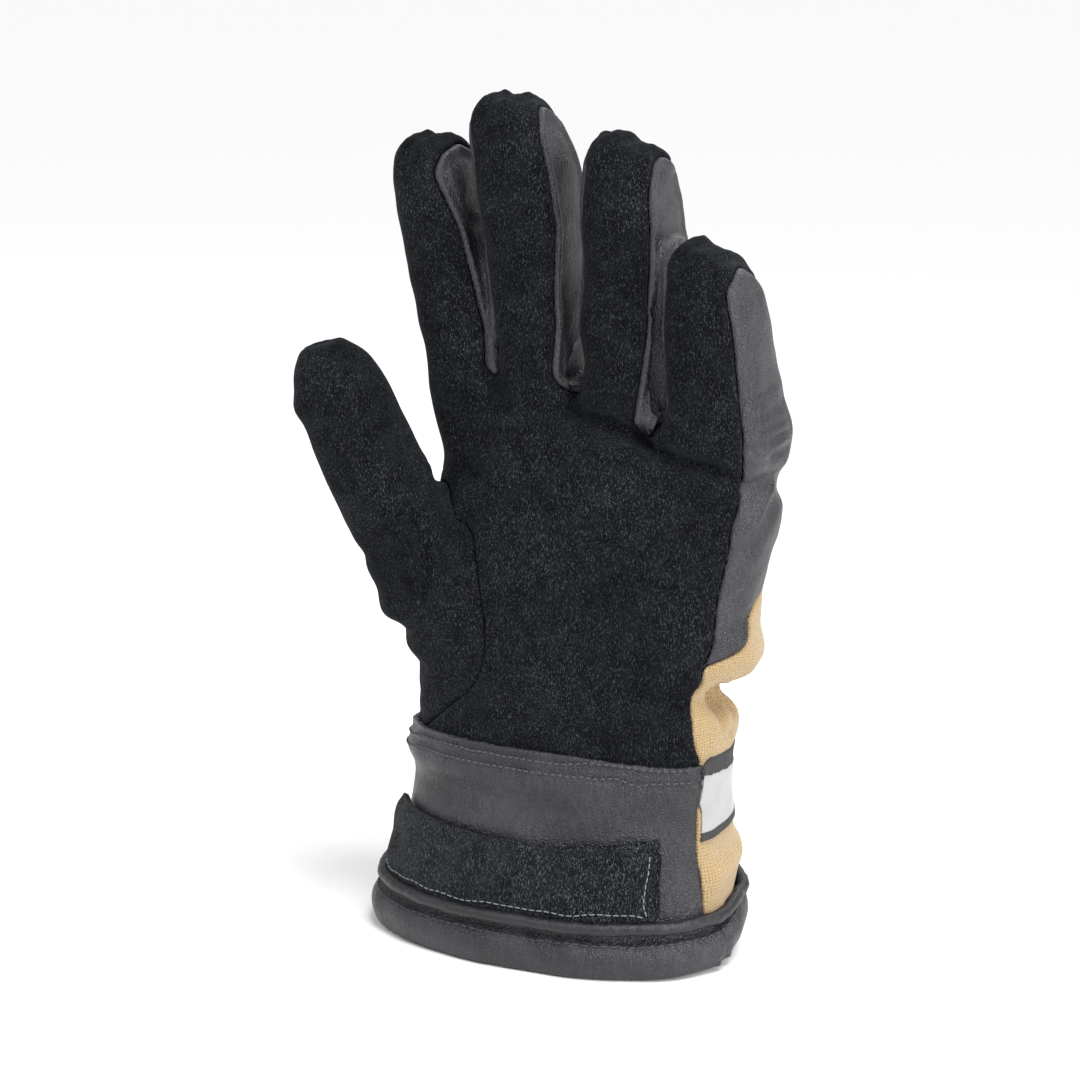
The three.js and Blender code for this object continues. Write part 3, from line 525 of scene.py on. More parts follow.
def seam_values(places):
    """How far places lie within the side pieces between fingers, and within the back."""
    x, y, z = places.T
    level = z.copy()
    for _ in range(4):
        level = z - mouth_rise(y, level)
    reach = tube_distances(places)[:, 1:5]
    share = np.exp(-(reach - reach.min(1, keepdims=True)) / 1.2)
    share /= share.sum(1, keepdims=True)
    front, back, index_left = 0, 0, 0
    for k, name in enumerate(FINGERS):
        t, u, v, a, b = digit_places(name, places)
        b = FINGERS[name]["b"] * along(FINGER_FORM, "t", np.clip(t, 0.15, 0.9), "deep", 0.012)
        far = FAR_FRONT_TURN + (np.interp(t, FRONT_TURN[name]["t"],
                FRONT_TURN[name]["turn"]) - FAR_FRONT_TURN) * smooth(-0.3, 0.3, u)
        lean = np.radians(far)
        edge = (v * np.cos(lean) - abs(u) * np.sin(lean)) * b
        # The suede is rolled over the tip, and a little way down the finger's back.
        reach_down = 0.13 if name == "little" else 0.07
        over = (t - 0.982 + reach_down * smooth(-0.35, -0.9, v)) * FINGERS[name]["length"]
        edge = soft_max(edge, over, 9.0)
        lean = np.radians(BACK_TURN - ((BACK_TURN - INDEX_EDGE_TURN) * smooth(0.3, -0.3, u) if k == 0 else 0))
        rear = (-v * np.cos(lean) - abs(u) * np.sin(lean)) * b
        rear = np.minimum(rear, -over)
        front = front + edge * share[:, k]
        back = back + rear * share[:, k]
        if k == 0:
            index_left = share[:, 0] * smooth(0.4, -0.4, u)
    # Round each fork the leather ends in a U at the palm.
    for fork_x, fork_z in zip(FORKS["x"], FORKS["z"]):
        bowl = fork_z - 0.4 + 0.12 * (x - fork_x) ** 2 - z
        here = smooth(13, 10, abs(x - fork_x)) * smooth(6, 0, y)
        front = np.where(here > 0, soft_max(front, bowl * here - 30 * (1 - here), 2.0), front)
        valley = np.minimum(fork_z - 7 - 0.35 * abs(x - fork_x) - z, y - 7)
        back = np.where(abs(x - fork_x) < 9, soft_max(back, valley, 2.0), back)
    # Below the knuckles the seams run down the two edges of the hand.
    low_front = np.interp(level, GUSSET_FRONT["z"], GUSSET_FRONT["y"]) - y
    right = np.where(level > 90, np.interp(level, GUSSET_BACK["z"], GUSSET_BACK["y"]),
                     np.interp(level, RIGHT_SEAM["z"], RIGHT_SEAM["y"]))
    left = np.interp(level, LEFT_SEAM["z"], LEFT_SEAM["y"])
    low_back = y - (left + (right - left) * smooth(-5, 15, x))
    knuckle = smooth(143, 160, level)
    front = low_front + (front - low_front) * knuckle
    back = low_back + (back - low_back) * knuckle
    # The index finger's outer side has no side piece: suede and knit meet there.
    front = front + (-back - front) * np.maximum(index_left, (x < -5) * (1 - knuckle))
    side = np.minimum(-front, 0.5 - back)
    return np.minimum(side, level - 90.5), back


def thumb_value(places):
    """How far places lie inside the closed seam by which the thumb is let in."""
    x, y, z = places.T
    turn = np.degrees(np.arctan2(y - 3, x - 8))
    flat = np.stack([((turn + 180 + 90) % 360) * 0.75, z], -1)
    ring = np.stack([((np.array(THUMB_SEAM["turn"]) + 180 + 90) % 360) * 0.75, THUMB_SEAM["z"]], -1)
    inside = np.zeros(len(places), bool)
    best = np.full(len(places), 1e9)
    for p, q in zip(ring, np.roll(ring, -1, 0)):
        run = q - p
        s = np.clip((flat - p) @ run / (run @ run), 0, 1)
        best = np.minimum(best, np.linalg.norm(flat - p - s[:, None] * run, axis=1))
        straddle = (p[1] > flat[:, 1]) != (q[1] > flat[:, 1])
        slope = (q[0] - p[0]) * (flat[:, 1] - p[1]) / (q[1] - p[1] + 1e-9) + p[0]
        inside ^= straddle & (flat[:, 0] < slope)
    plug = np.where(inside, best, -best)
    t, u, v, a, b = digit_places("thumb", places)
    radial = (abs(u) ** FINGER_SQUARENESS + abs(v) ** FINGER_SQUARENESS) ** (1 / FINGER_SQUARENESS)
    stem = 1.5 - (radial - 1) * a - 20 * smooth(0.26, 0.16, t)
    return np.maximum(plug, stem)


def level_of(rows):
    level = rows[:, 5].copy()
    for _ in range(4):
        level = rows[:, 5] - mouth_rise(rows[:, 4], level)
    return level


def cuff_top(x):
    """The height of the cuff leather's raw top edge across the palm."""
    return 63.4 - 2.5 * smooth(15, 58, x) - 3.0 * smooth(-43, -55, x)


PIPING_LEVEL = 17.0

# A row holds a corner's place, its place on the untouched form, its arc and its height.
skin = (np.concatenate([co, rest, arc[:, None], level[:, None]], 1), tris)
skin, _mouth = part(skin, level_of(skin[0]))
skin, hem_band = part(skin, level_of(skin[0]) - (PIPING_LEVEL - 1.4))
_upper, cuff_skin = part(skin, level_of(skin[0]) - cuff_top(skin[0][:, 3]))
_knit, cuff_skin = part(cuff_skin, seam_values(cuff_skin[0][:, 3:6])[1])
lap = 6.0
thumb_skin, skin = part(skin, np.minimum(thumb_value(skin[0][:, 3:6]),
        level_of(skin[0]) - (cuff_top(skin[0][:, 3]) - lap)))
knit_skin, skin = part(skin, seam_values(skin[0][:, 3:6])[1])
side_skin, skin = part(skin, seam_values(skin[0][:, 3:6])[0])
suede_skin, _under = part(skin, level_of(skin[0]) - (cuff_top(skin[0][:, 3]) - lap))
thumb_t, thumb_u, thumb_v, thumb_a, thumb_b = digit_places("thumb", thumb_skin[0][:, 3:6])
by_palm = 1.8 * smooth(0.55, 0.38, thumb_t) * smooth(0.0, 0.7, thumb_u)
thumb_faces = part(thumb_skin, (thumb_v + 0.3 + 0.5 * np.clip(thumb_u, -1, 1) + by_palm) * thumb_b)


def rolled(mesh, radius, keep=None, lip=0.0, hollow=0.0):
    """Turns a panel's edges in along its seams, with finer faces there. keep leaves an edge flat,
    lip raises a soft welt beside the turn, and hollow sinks what lies inside the welt."""
    rows, faces = mesh
    pairs, _which, count = edges_of(faces)
    rim = pairs[count == 1]
    own, again = np.unique(rim, return_inverse=True)
    rows[own] = relax(rows[own], again.reshape(-1, 2), 0.5, 5)
    ends = rows[rim]
    if keep is not None:
        ends = ends[~keep(ends.mean(1))]
    points = np.concatenate([ends[:, 0, :3] * (1 - s) + ends[:, 1, :3] * s for s in (0.0, 0.25, 0.5, 0.75)])
    tree = KDTree(len(points))
    for i, p in enumerate(points):
        tree.insert(p, i)
    tree.balance()
    away = np.array([tree.find(p)[2] for p in rows[:, :3]])
    rows = np.concatenate([rows, away[:, None]], 1)
    for step in (0.25 * radius, 0.6 * radius, 1.1 * radius):
        rows, faces, _value = part_rows(rows, faces, rows[:, -1] - step)
    rows, faces = compact(rows, faces)
    short = np.clip(1 - rows[:, -1] / radius, 0, 1)
    fall = radius * (1 - np.sqrt(1 - short ** 2))
    fall = fall + hollow * smooth(radius, radius * 2.6,
            rows[:, -1]) - lip * np.exp(-((rows[:, -1] - radius * 0.95) / (radius * 0.5)) ** 2)
    inward = relax(normals_of(rows[:, :3], faces), edges_of(faces)[0], 0.6, 4)
    inward /= np.linalg.norm(inward, axis=1, keepdims=True) + 1e-9
    rows[:, :3] -= inward * fall[:, None]
    return rows, faces


def panel(name, mesh, thickness):
    """A sewn panel as an object: a smooth skin with its wall behind it."""
    rows, faces = mesh
    made = object_from(name, rows[:, :3], faces)
    cloth = made.data.uv_layers.new(name="cloth")
    corners = faces.ravel()
    cloth.data.foreach_set("uv", (rows[corners][:, [6, 7]] * 0.001).ravel())
    apply_modifier(made, "SOLIDIFY", thickness=thickness * 0.001, offset=-1)
    only(made)
    bpy.ops.object.shade_smooth()
    return made


# Black split suede: the palm with the fronts of the fingers, rolled over the tips. It is cut
# from one hide, napped on its outside, and sewn to the side pieces with turned-in seams.
def node_group(name, inputs, outputs):
    group = bpy.data.node_groups.new(name, "ShaderNodeTree")
    for label, kind, value in inputs:
        socket = group.interface.new_socket(label, in_out="INPUT", socket_type=kind)
        socket.default_value = value
    for label, kind in outputs:
        group.interface.new_socket(label, in_out="OUTPUT", socket_type=kind)
    return group, group.nodes.new("NodeGroupInput"), group.nodes.new("NodeGroupOutput")


def add(tree, kind, settings=None, **wires):
    """A node with its settings, and values or links for its inputs by name or number."""
    made = tree.nodes.new("ShaderNode" + kind)
    for key, value in (settings or {}).items():
        setattr(made, key, value)
    for key, value in wires.items():
        socket = made.inputs[int(key[1:])] if key[0] == "_" else made.inputs[key.replace("_", " ")]
        if isinstance(value, bpy.types.NodeSocket):
            tree.links.new(value, socket)
        else:
            socket.default_value = value
    return made


suede_nap, inlet, outlet = node_group("suede_nap", [
    ("Ground", "NodeSocketColor", (0.0026, 0.0031, 0.0042, 1)),
    ("Fleck", "NodeSocketColor", (0.085, 0.094, 0.112, 1)),
    ("Fleck Amount", "NodeSocketFloat", 0.75),
], [("Color", "NodeSocketColor"), ("Height", "NodeSocketFloat"), ("Roughness", "NodeSocketFloat")])
where = add(suede_nap, "TexCoord").outputs["Object"]
brushed = add(suede_nap, "TexNoise", Vector=where, Scale=40.0, Detail=3.0, Roughness=0.6)
sway = add(suede_nap, "TexNoise", Vector=where, Scale=170.0, Detail=1.0)
hairs = []
for turned, stretch in (((0.3, 0.6, 0.1), (3300, 3300, 900)), ((0.2, -0.9, 0.4), (3000, 3000, 1000)),
        ((0.1, 1.5, 0.9), (3200, 3200, 900))):
    lie = add(suede_nap, "Mapping", Vector=where, Rotation=turned, Scale=stretch)
    hair = add(suede_nap, "TexNoise", Vector=lie.outputs[0], Scale=1.0, Detail=1.0, Distortion=0.6)
    hairs.append(hair.outputs["Fac"])
first = add(suede_nap, "Math", {"operation": "MAXIMUM"}, _0=hairs[0], _1=hairs[1])
strands = add(suede_nap, "Math", {"operation": "MAXIMUM"}, _0=first.outputs[0], _1=hairs[2])
bright = add(suede_nap, "MapRange", {"interpolation_type": "SMOOTHSTEP"},
        Value=strands.outputs[0], _1=0.61, _2=0.76)
patchy = add(suede_nap, "MapRange", Value=brushed.outputs["Fac"], _1=0.38, _2=0.68, _3=0.5, _4=1.0)
lit = add(suede_nap, "Math", {"operation": "MULTIPLY"}, _0=bright.outputs[0], _1=patchy.outputs[0])
amount = add(suede_nap, "Math", {"operation": "MULTIPLY"}, _0=lit.outputs[0],
        _1=inlet.outputs["Fleck Amount"])
deep = add(suede_nap, "MapRange", Value=sway.outputs["Fac"], _1=0.35, _2=0.7, _3=0.5, _4=1.8)
ground = add(suede_nap, "VectorMath", {"operation": "SCALE"}, _0=inlet.outputs["Ground"],
        Scale=deep.outputs[0])
mixed = add(suede_nap, "Mix", {"data_type": "RGBA"}, _0=amount.outputs[0],
        _6=ground.outputs[0], _7=inlet.outputs["Fleck"])
suede_nap.links.new(mixed.outputs[2], outlet.inputs["Color"])
high = add(suede_nap, "Math", {"operation": "MULTIPLY_ADD"}, _0=brushed.outputs["Fac"],
        _1=0.8, _2=strands.outputs[0])
suede_nap.links.new(high.outputs[0], outlet.inputs["Height"])
dull = add(suede_nap, "MapRange", Value=brushed.outputs["Fac"], _1=0.3, _2=0.7, _3=0.95, _4=0.8)
suede_nap.links.new(dull.outputs[0], outlet.inputs["Roughness"])


def finish(name, made, group, values, bump, distance, **sockets):
    """A material that takes colour, roughness and height from a group, and puts it on a piece."""
    material = bpy.data.materials.new(name)
    material.use_nodes = True
    tree = material.node_tree
    shader = tree.nodes["Principled BSDF"]
    effect = add(tree, "Group", {"node_tree": group})
    for key, value in values.items():
        effect.inputs[key].default_value = value
    tree.links.new(effect.outputs["Color"], shader.inputs["Base Color"])
    tree.links.new(effect.outputs["Roughness"], shader.inputs["Roughness"])
    raised = add(tree, "Bump", Strength=bump, Distance=distance, Height=effect.outputs["Height"])
    tree.links.new(raised.outputs[0], shader.inputs["Normal"])
    for key, value in sockets.items():
        shader.inputs[key.replace("_", " ")].default_value = value
    made.data.materials.clear()
    made.data.materials.append(material)
    return material


SUEDE_TURN = 1.5
SUEDE_WALL = 1.6
palm = panel("suede_palm", rolled(largest(suede_skin)[0], SUEDE_TURN), SUEDE_WALL)
black_suede = finish("black_suede", palm, suede_nap, {}, 0.55, 0.0006, Sheen_Weight=0.06,
        Sheen_Roughness=0.4, Specular_IOR_Level=0.1)
black_suede.node_tree.nodes["Principled BSDF"].inputs["Sheen Tint"].default_value = (0.55, 0.62, 0.68, 1)
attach(palm, "root")
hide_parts("palm_panel")

# The thumb: a front and a back of the same suede, joined along both sides and over the tip,
# and let into the palm by a curved seam round its root.
THUMB_TURN = 1.3
for name, mesh in zip(("front", "back"), thumb_faces):
    half = panel("suede_thumb_" + name, rolled(largest(mesh)[0], THUMB_TURN), SUEDE_WALL)
    half.data.materials.append(black_suede)
    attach(half, "root")
    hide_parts("thumb_" + name)

# Dark grey grain leather: three fourchettes between the fingers, each one strip that runs
# down one finger, round the fork and up the next, and the gusset on the little finger's edge.
leather_grain, inlet, outlet = node_group("leather_grain", [
    ("Ground", "NodeSocketColor", (0.009, 0.0088, 0.012, 1)),
    ("Worn", "NodeSocketColor", (0.038, 0.037, 0.046, 1)),
    ("Pebble", "NodeSocketFloat", 1900.0),
    ("Shine", "NodeSocketFloat", 0.36),
], [("Color", "NodeSocketColor"), ("Height", "NodeSocketFloat"), ("Roughness", "NodeSocketFloat")])
where = add(leather_grain, "TexCoord").outputs["Object"]
drift = add(leather_grain, "TexNoise", Vector=where, Scale=420.0, Detail=2.0)
pushed = add(leather_grain, "VectorMath", {"operation": "SCALE"}, _0=drift.outputs["Color"],
        Scale=0.0011)
moved = add(leather_grain, "VectorMath", {"operation": "ADD"}, _0=where, _1=pushed.outputs[0])
cells = add(leather_grain, "TexVoronoi", {"feature": "SMOOTH_F1"}, Vector=moved.outputs[0],
        Scale=inlet.outputs["Pebble"], Smoothness=0.4)
lines = add(leather_grain, "Mapping", Vector=moved.outputs[0], Rotation=(0.3, 0.6, 0.2),
        Scale=(700, 700, 230))
wrinkle = add(leather_grain, "TexNoise", Vector=lines.outputs[0], Scale=1.0, Detail=3.0,
        Roughness=0.6, Distortion=0.5)
broad = add(leather_grain, "TexNoise", Vector=where, Scale=45.0, Detail=2.0)
pebbles = add(leather_grain, "Math", {"operation": "MULTIPLY_ADD"},
        _0=cells.outputs["Distance"], _1=-0.55, _2=wrinkle.outputs["Fac"])
leather_grain.links.new(pebbles.outputs[0], outlet.inputs["Height"])
raised = add(leather_grain, "MapRange", Value=pebbles.outputs[0], _1=0.08, _2=0.45, _3=0.0, _4=0.55)
toned = add(leather_grain, "MapRange", Value=broad.outputs["Fac"], _1=0.35, _2=0.65, _3=-0.15,
        _4=0.45)
tone = add(leather_grain, "Math", {"operation": "ADD", "use_clamp": True},
        _0=raised.outputs[0], _1=toned.outputs[0])
mixed = add(leather_grain, "Mix", {"data_type": "RGBA"}, _0=tone.outputs[0],
        _6=inlet.outputs["Ground"], _7=inlet.outputs["Worn"])
leather_grain.links.new(mixed.outputs[2], outlet.inputs["Color"])
rough = add(leather_grain, "Math", {"operation": "MULTIPLY_ADD"}, _0=pebbles.outputs[0],
        _1=0.18, _2=inlet.outputs["Shine"])
leather_grain.links.new(rough.outputs[0], outlet.inputs["Roughness"])

side_pieces = sorted(largest(side_skin, 4), key=lambda mesh: mesh[0][:, 0].mean())
side_nodes = ["index_middle_fourchette", "middle_ring_fourchette", "ring_little_fourchette",
        "little_side_gusset"]
STRIP_TURN = 1.7
STRIP_WALL = 1.4
STRIP_LIP = 0.4
STRIP_HOLLOW = 1.3
grain_leather = None
for node, mesh in zip(side_nodes, side_pieces):
    between = node.endswith("fourchette")
    turned = rolled(mesh, STRIP_TURN, lip=STRIP_LIP * between, hollow=STRIP_HOLLOW * between)
    strip = panel("leather_" + node, turned, STRIP_WALL)
    if grain_leather is None:
        grain_leather = finish("grain_leather", strip, leather_grain, {}, 0.7, 0.0007, Specular_IOR_Level=0.55)
    else:
        strip.data.materials.append(grain_leather)
    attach(strip, "root")
    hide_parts(node)

# The back: tan knitted cloth from the finger backs to the hem, gathered at the wrist.
knit_loops, inlet, outlet = node_group("knit_loops", [
    ("Ground", "NodeSocketColor", (0.43, 0.305, 0.155, 1)),
    ("Shadow", "NodeSocketColor", (0.19, 0.12, 0.052, 1)),
    ("Wale", "NodeSocketFloat", 0.00095),
    ("Course", "NodeSocketFloat", 0.00085),
], [("Color", "NodeSocketColor"), ("Height", "NodeSocketFloat"), ("Roughness", "NodeSocketFloat")])
cloth = add(knit_loops, "UVMap", {"uv_map": "cloth"}).outputs[0]
waver = add(knit_loops, "TexNoise", Vector=cloth, Scale=190.0, Detail=4.0, Roughness=0.6)
shift = add(knit_loops, "VectorMath", {"operation": "SCALE"}, _0=waver.outputs["Color"], Scale=0.0026)
strayed = add(knit_loops, "VectorMath", {"operation": "ADD"}, _0=cloth, _1=shift.outputs[0])
axes = add(knit_loops, "SeparateXYZ", Vector=strayed.outputs[0])
wale = add(knit_loops, "Math", {"operation": "DIVIDE"}, _0=axes.outputs[0], _1=inlet.outputs["Wale"])
column = add(knit_loops, "Math", {"operation": "PINGPONG"}, _0=wale.outputs[0], _1=0.5)
course = add(knit_loops, "Math", {"operation": "DIVIDE"}, _0=axes.outputs[1],
        _1=inlet.outputs["Course"])
leg = add(knit_loops, "Math", {"operation": "ADD"}, _0=course.outputs[0], _1=column.outputs[0])
loop = add(knit_loops, "Math", {"operation": "PINGPONG"}, _0=leg.outputs[0], _1=0.5)
rib = add(knit_loops, "Math", {"operation": "MULTIPLY"}, _0=loop.outputs[0], _1=1.1)
height = add(knit_loops, "Math", {"operation": "MULTIPLY_ADD"}, _0=column.outputs[0], _1=0.9,
        _2=rib.outputs[0])
knit_loops.links.new(height.outputs[0], outlet.inputs["Height"])
# Painted shade: the low places between the loops are mixed towards the dark Shadow colour, with fine random
# fuzz added on top.
shade = add(knit_loops, "MapRange", Value=height.outputs[0], _1=0.15, _2=0.75, _3=0.0, _4=1.0)
fuzz = add(knit_loops, "TexNoise", Vector=cloth, Scale=900.0, Detail=2.0)
fuzz_and_loop_shade = add(knit_loops, "Math", {"operation": "MULTIPLY_ADD", "use_clamp": True},
        _0=fuzz.outputs["Fac"], _1=0.7, _2=shade.outputs[0])
mixed = add(knit_loops, "Mix", {"data_type": "RGBA"}, _0=fuzz_and_loop_shade.outputs[0],
        _6=inlet.outputs["Shadow"], _7=inlet.outputs["Ground"])
knit_loops.links.new(mixed.outputs[2], outlet.inputs["Color"])
even = add(knit_loops, "MapRange", Value=fuzz.outputs["Fac"], _1=0.2, _2=0.8, _3=0.8, _4=0.95)
knit_loops.links.new(even.outputs[0], outlet.inputs["Roughness"])

KNIT_TURN = 1.3
KNIT_WALL = 1.8
back = panel("knit_back", rolled(largest(knit_skin)[0], KNIT_TURN), KNIT_WALL)
finish("tan_knit", back, knit_loops, {}, 0.6, 0.0006, Sheen_Weight=0.35, Sheen_Roughness=0.5,
        Specular_IOR_Level=0.2)
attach(back, "root")
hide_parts("back_panel")

# The cuff's front: one piece of grain leather lapped over the bottom of the suede palm, its
# top edge left raw and held by two rows of stitching.
def raw_top(rows):
    return level_of(rows) > cuff_top(rows[:, 3]) - 1


CUFF_TURN = 1.3
CUFF_WALL = 1.5
rows, faces = rolled(largest(cuff_skin)[0], CUFF_TURN, keep=raw_top)
outward = relax(normals_of(rows[:, :3], faces), edges_of(faces)[0], 0.6, 6)
below = cuff_top(rows[:, 3]) - level_of(rows)
stitched = np.exp(-((below - 1.9) / 0.9) ** 2) + np.exp(-((below - 5.6) / 0.9) ** 2)
rows[:, :3] += outward * (1.5 * smooth(18, 7, below) + 0.4 * smooth(2.5, 0, below) - 0.5 * stitched)[:, None]
cuff = panel("leather_cuff", (rows, faces), CUFF_WALL)
cuff_leather = finish("cuff_leather", cuff, leather_grain,
        {"Ground": (0.008, 0.008, 0.011, 1), "Worn": (0.036, 0.036, 0.045, 1), "Pebble": 1700.0}, 0.8,
        0.0008, Specular_IOR_Level=0.55)
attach(cuff, "root")
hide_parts("wrist_cuff")

# The hem: a leather band turned round the mouth, with its joining seam at the right.
HEM_TURN = 1.2
HEM_WALL = 2.2
hem = panel("leather_hem", rolled(largest(hem_band)[0], HEM_TURN), HEM_WALL)
hem.data.materials.append(cuff_leather)
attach(hem, "root")
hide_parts("cuff_hem")


# The piping: a leather strip rolled over a cord and sewn in where the hem begins.
def surface(*pieces):
    """The pieces' outsides as one search tree, in millimetres."""
    places, faces = [], []
    for one in pieces:
        base = len(places)
        places += [v.co * 1000 for v in one.data.vertices]
        faces += [[base + i for i in f.vertices] for f in one.data.polygons]
    return BVHTree.FromPolygons(places, faces)


def settle(tree, places):
    """Places brought on to the surface from outside it, with the way out at each."""
    found = [tree.find_nearest(Vector(p)) for p in places]
    return np.array([f[0] for f in found]), np.array([f[1] for f in found])


cuff_surface = surface(cuff, back, hem, palm)


def cord(path, radius, sides):
    """A round cord along a closed path."""
    onward = np.roll(path, -1, 0) - np.roll(path, 1, 0)
    onward /= np.linalg.norm(onward, axis=1, keepdims=True)
    side = np.cross(onward, (0, 0, 1.0))
    side /= np.linalg.norm(side, axis=1, keepdims=True)
    up = np.cross(side, onward)
    turn = np.linspace(0, 2 * math.pi, sides, endpoint=False)
    places = np.concatenate([p + np.outer(np.cos(turn), s * r) + np.outer(np.sin(turn), w * r)
                             for p, s, w, r in zip(path, side, up, radius)])
    n = len(path)
    faces = []
    for i in range(n):
        for j in range(sides):
            k = (j + 1) % sides
            m = (i + 1) % n
            faces.append((i * sides + j, m * sides + j, m * sides + k, i * sides + k))
    return places, faces


PIPING_RADIUS = 2.15
turn = np.linspace(0, 2 * math.pi, 420, endpoint=False)
piping_line = PIPING_LEVEL - 3.0 * smooth(-0.4, 0.4, turn - 2 * math.pi * (turn > 5)) * smooth(3.1, 2.2,
        turn - 2 * math.pi * (turn > 5))
start = body_point(piping_line, turn, 2.3)
on, out = settle(cuff_surface, start)
distance = np.linalg.norm(start - on, axis=1, keepdims=True)
seat = on + (start - on) * np.clip(1.9 / distance, None, 1)
for _ in range(6):
    seat = (np.roll(seat, 1, 0) + 2 * seat + np.roll(seat, -1, 0)) / 4
girth = PIPING_RADIUS * (1 + 0.04 * np.sin(turn * 23) + 0.03 * np.sin(turn * 61 + 1))
places, faces = cord(seat, girth, 12)
piping = object_from("rolled_piping", places, faces)
only(piping)
bpy.ops.object.shade_smooth()
finish("piping_leather", piping, leather_grain,
        {"Ground": (0.004, 0.004, 0.006, 1), "Worn": (0.014, 0.014, 0.019, 1), "Shine": 0.42}, 0.5,
        0.0005, Specular_IOR_Level=0.55)
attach(piping, "root")
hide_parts("cuff_piping")


# The strap: a patch of suede across the palm side of the cuff. It is sewn down along its
# bottom and right end, and its top edge and left end stand a little loose.
def sheet(low, high, first, last, count, rows_up, lift_at, thickness):
    """A sheet over the cuff between two heights and two turns, settled on what lies below."""
    s = np.linspace(0, 1, count)
    h = np.linspace(0, 1, rows_up)
    ss, hh = np.meshgrid(s, h)
    angle = np.radians(first + (last - first) * ss.ravel())
    z = low(ss.ravel()) + (high(ss.ravel()) - low(ss.ravel())) * hh.ravel()
    start = body_point(z, angle, 3.0)
    on, out = settle(cuff_surface, start)
    flat = body_point(z, angle, 3.0) - body_point(z, angle, 0.0)
    flat /= np.linalg.norm(flat, axis=1, keepdims=True)
    places = on + flat * (thickness + lift_at(ss.ravel(), hh.ravel()))[:, None]
    faces = []
    for i in range(rows_up - 1):
        for j in range(count - 1):
            a = i * count + j
            faces.append((a, a + 1, a + count + 1, a + count))
    return places, faces


STRAP_TOP = {
    "s": [0.0, 0.07, 0.19, 0.36, 0.53, 0.64, 0.78, 0.9, 1.0],
    "z": [40.4, 40.0, 39.6, 38.2, 37.2, 38.2, 38.6, 40.6, 40.8],
}


def strap_low(s):
    return PIPING_LEVEL + 2.0 + 0.25 * np.sin(s * 9)


def strap_high(s):
    return along(STRAP_TOP, "s", s, "z", 0.03) - 2.5 * smooth(0.035, 0, s) ** 2 - 1.2 * smooth(0.985, 1, s) ** 2


def strap_lift(s, h):
    loose_top = 1.4 * smooth(0.5, 0.85, h) * (1 - smooth(0.85, 1.0, s)) - 0.9 * smooth(0.88, 1.0, h)
    proud_end = 0.9 * smooth(0.12, 0.0, s) * smooth(0.0, 0.3, h)
    belly = 1.5 * np.sin(np.clip(h * 0.95, 0, 1) * math.pi) * smooth(1.0, 0.9, s)
    creases = 0.35 * np.sin(s * 23 + h * 4) + 0.25 * np.sin(s * 51 - h * 5)
    return loose_top + proud_end + belly + creases * np.sin(h * math.pi) * smooth(0, 0.1, s)


places, faces = sheet(strap_low, strap_high, 200, 318, 150, 34, strap_lift, 1.5)
strap = object_from("suede_strap", places, faces)
napped = finish("strap_nap", strap, suede_nap,
        {"Ground": (0.0035, 0.0045, 0.0058, 1), "Fleck": (0.14, 0.16, 0.18, 1), "Fleck Amount": 1.0},
        0.9, 0.0012, Sheen_Weight=0.08, Sheen_Roughness=0.4, Specular_IOR_Level=0.1)
raw_edge = finish("raw_suede_edge", strap, suede_nap,
        {"Ground": (0.03, 0.034, 0.036, 1), "Fleck": (0.32, 0.34, 0.35, 1), "Fleck Amount": 1.0}, 0.9,
        0.001, Specular_IOR_Level=0.1)
strap.data.materials.clear()
strap.data.materials.append(napped)
strap.data.materials.append(raw_edge)
apply_modifier(strap, "SOLIDIFY", thickness=0.0016, offset=-1, material_offset_rim=1)
for face in strap.data.polygons:
    if face.material_index == 1 and face.center.x < 0.0435 and face.center.x > -0.053:
        face.material_index = 0
only(strap)
bpy.ops.object.shade_smooth_by_angle(angle=math.radians(50))
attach(strap, "root")
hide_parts("strap_patch")

# The reflective band: silver tape across the back of the cuff from seam to seam, between two
# strips of black woven edging that hold it down.
BAND_TURN = (-19.5, 172)


def flat_lift(s, h):
    return 0 * s


def level_line(z):
    return lambda s: z + 0 * s


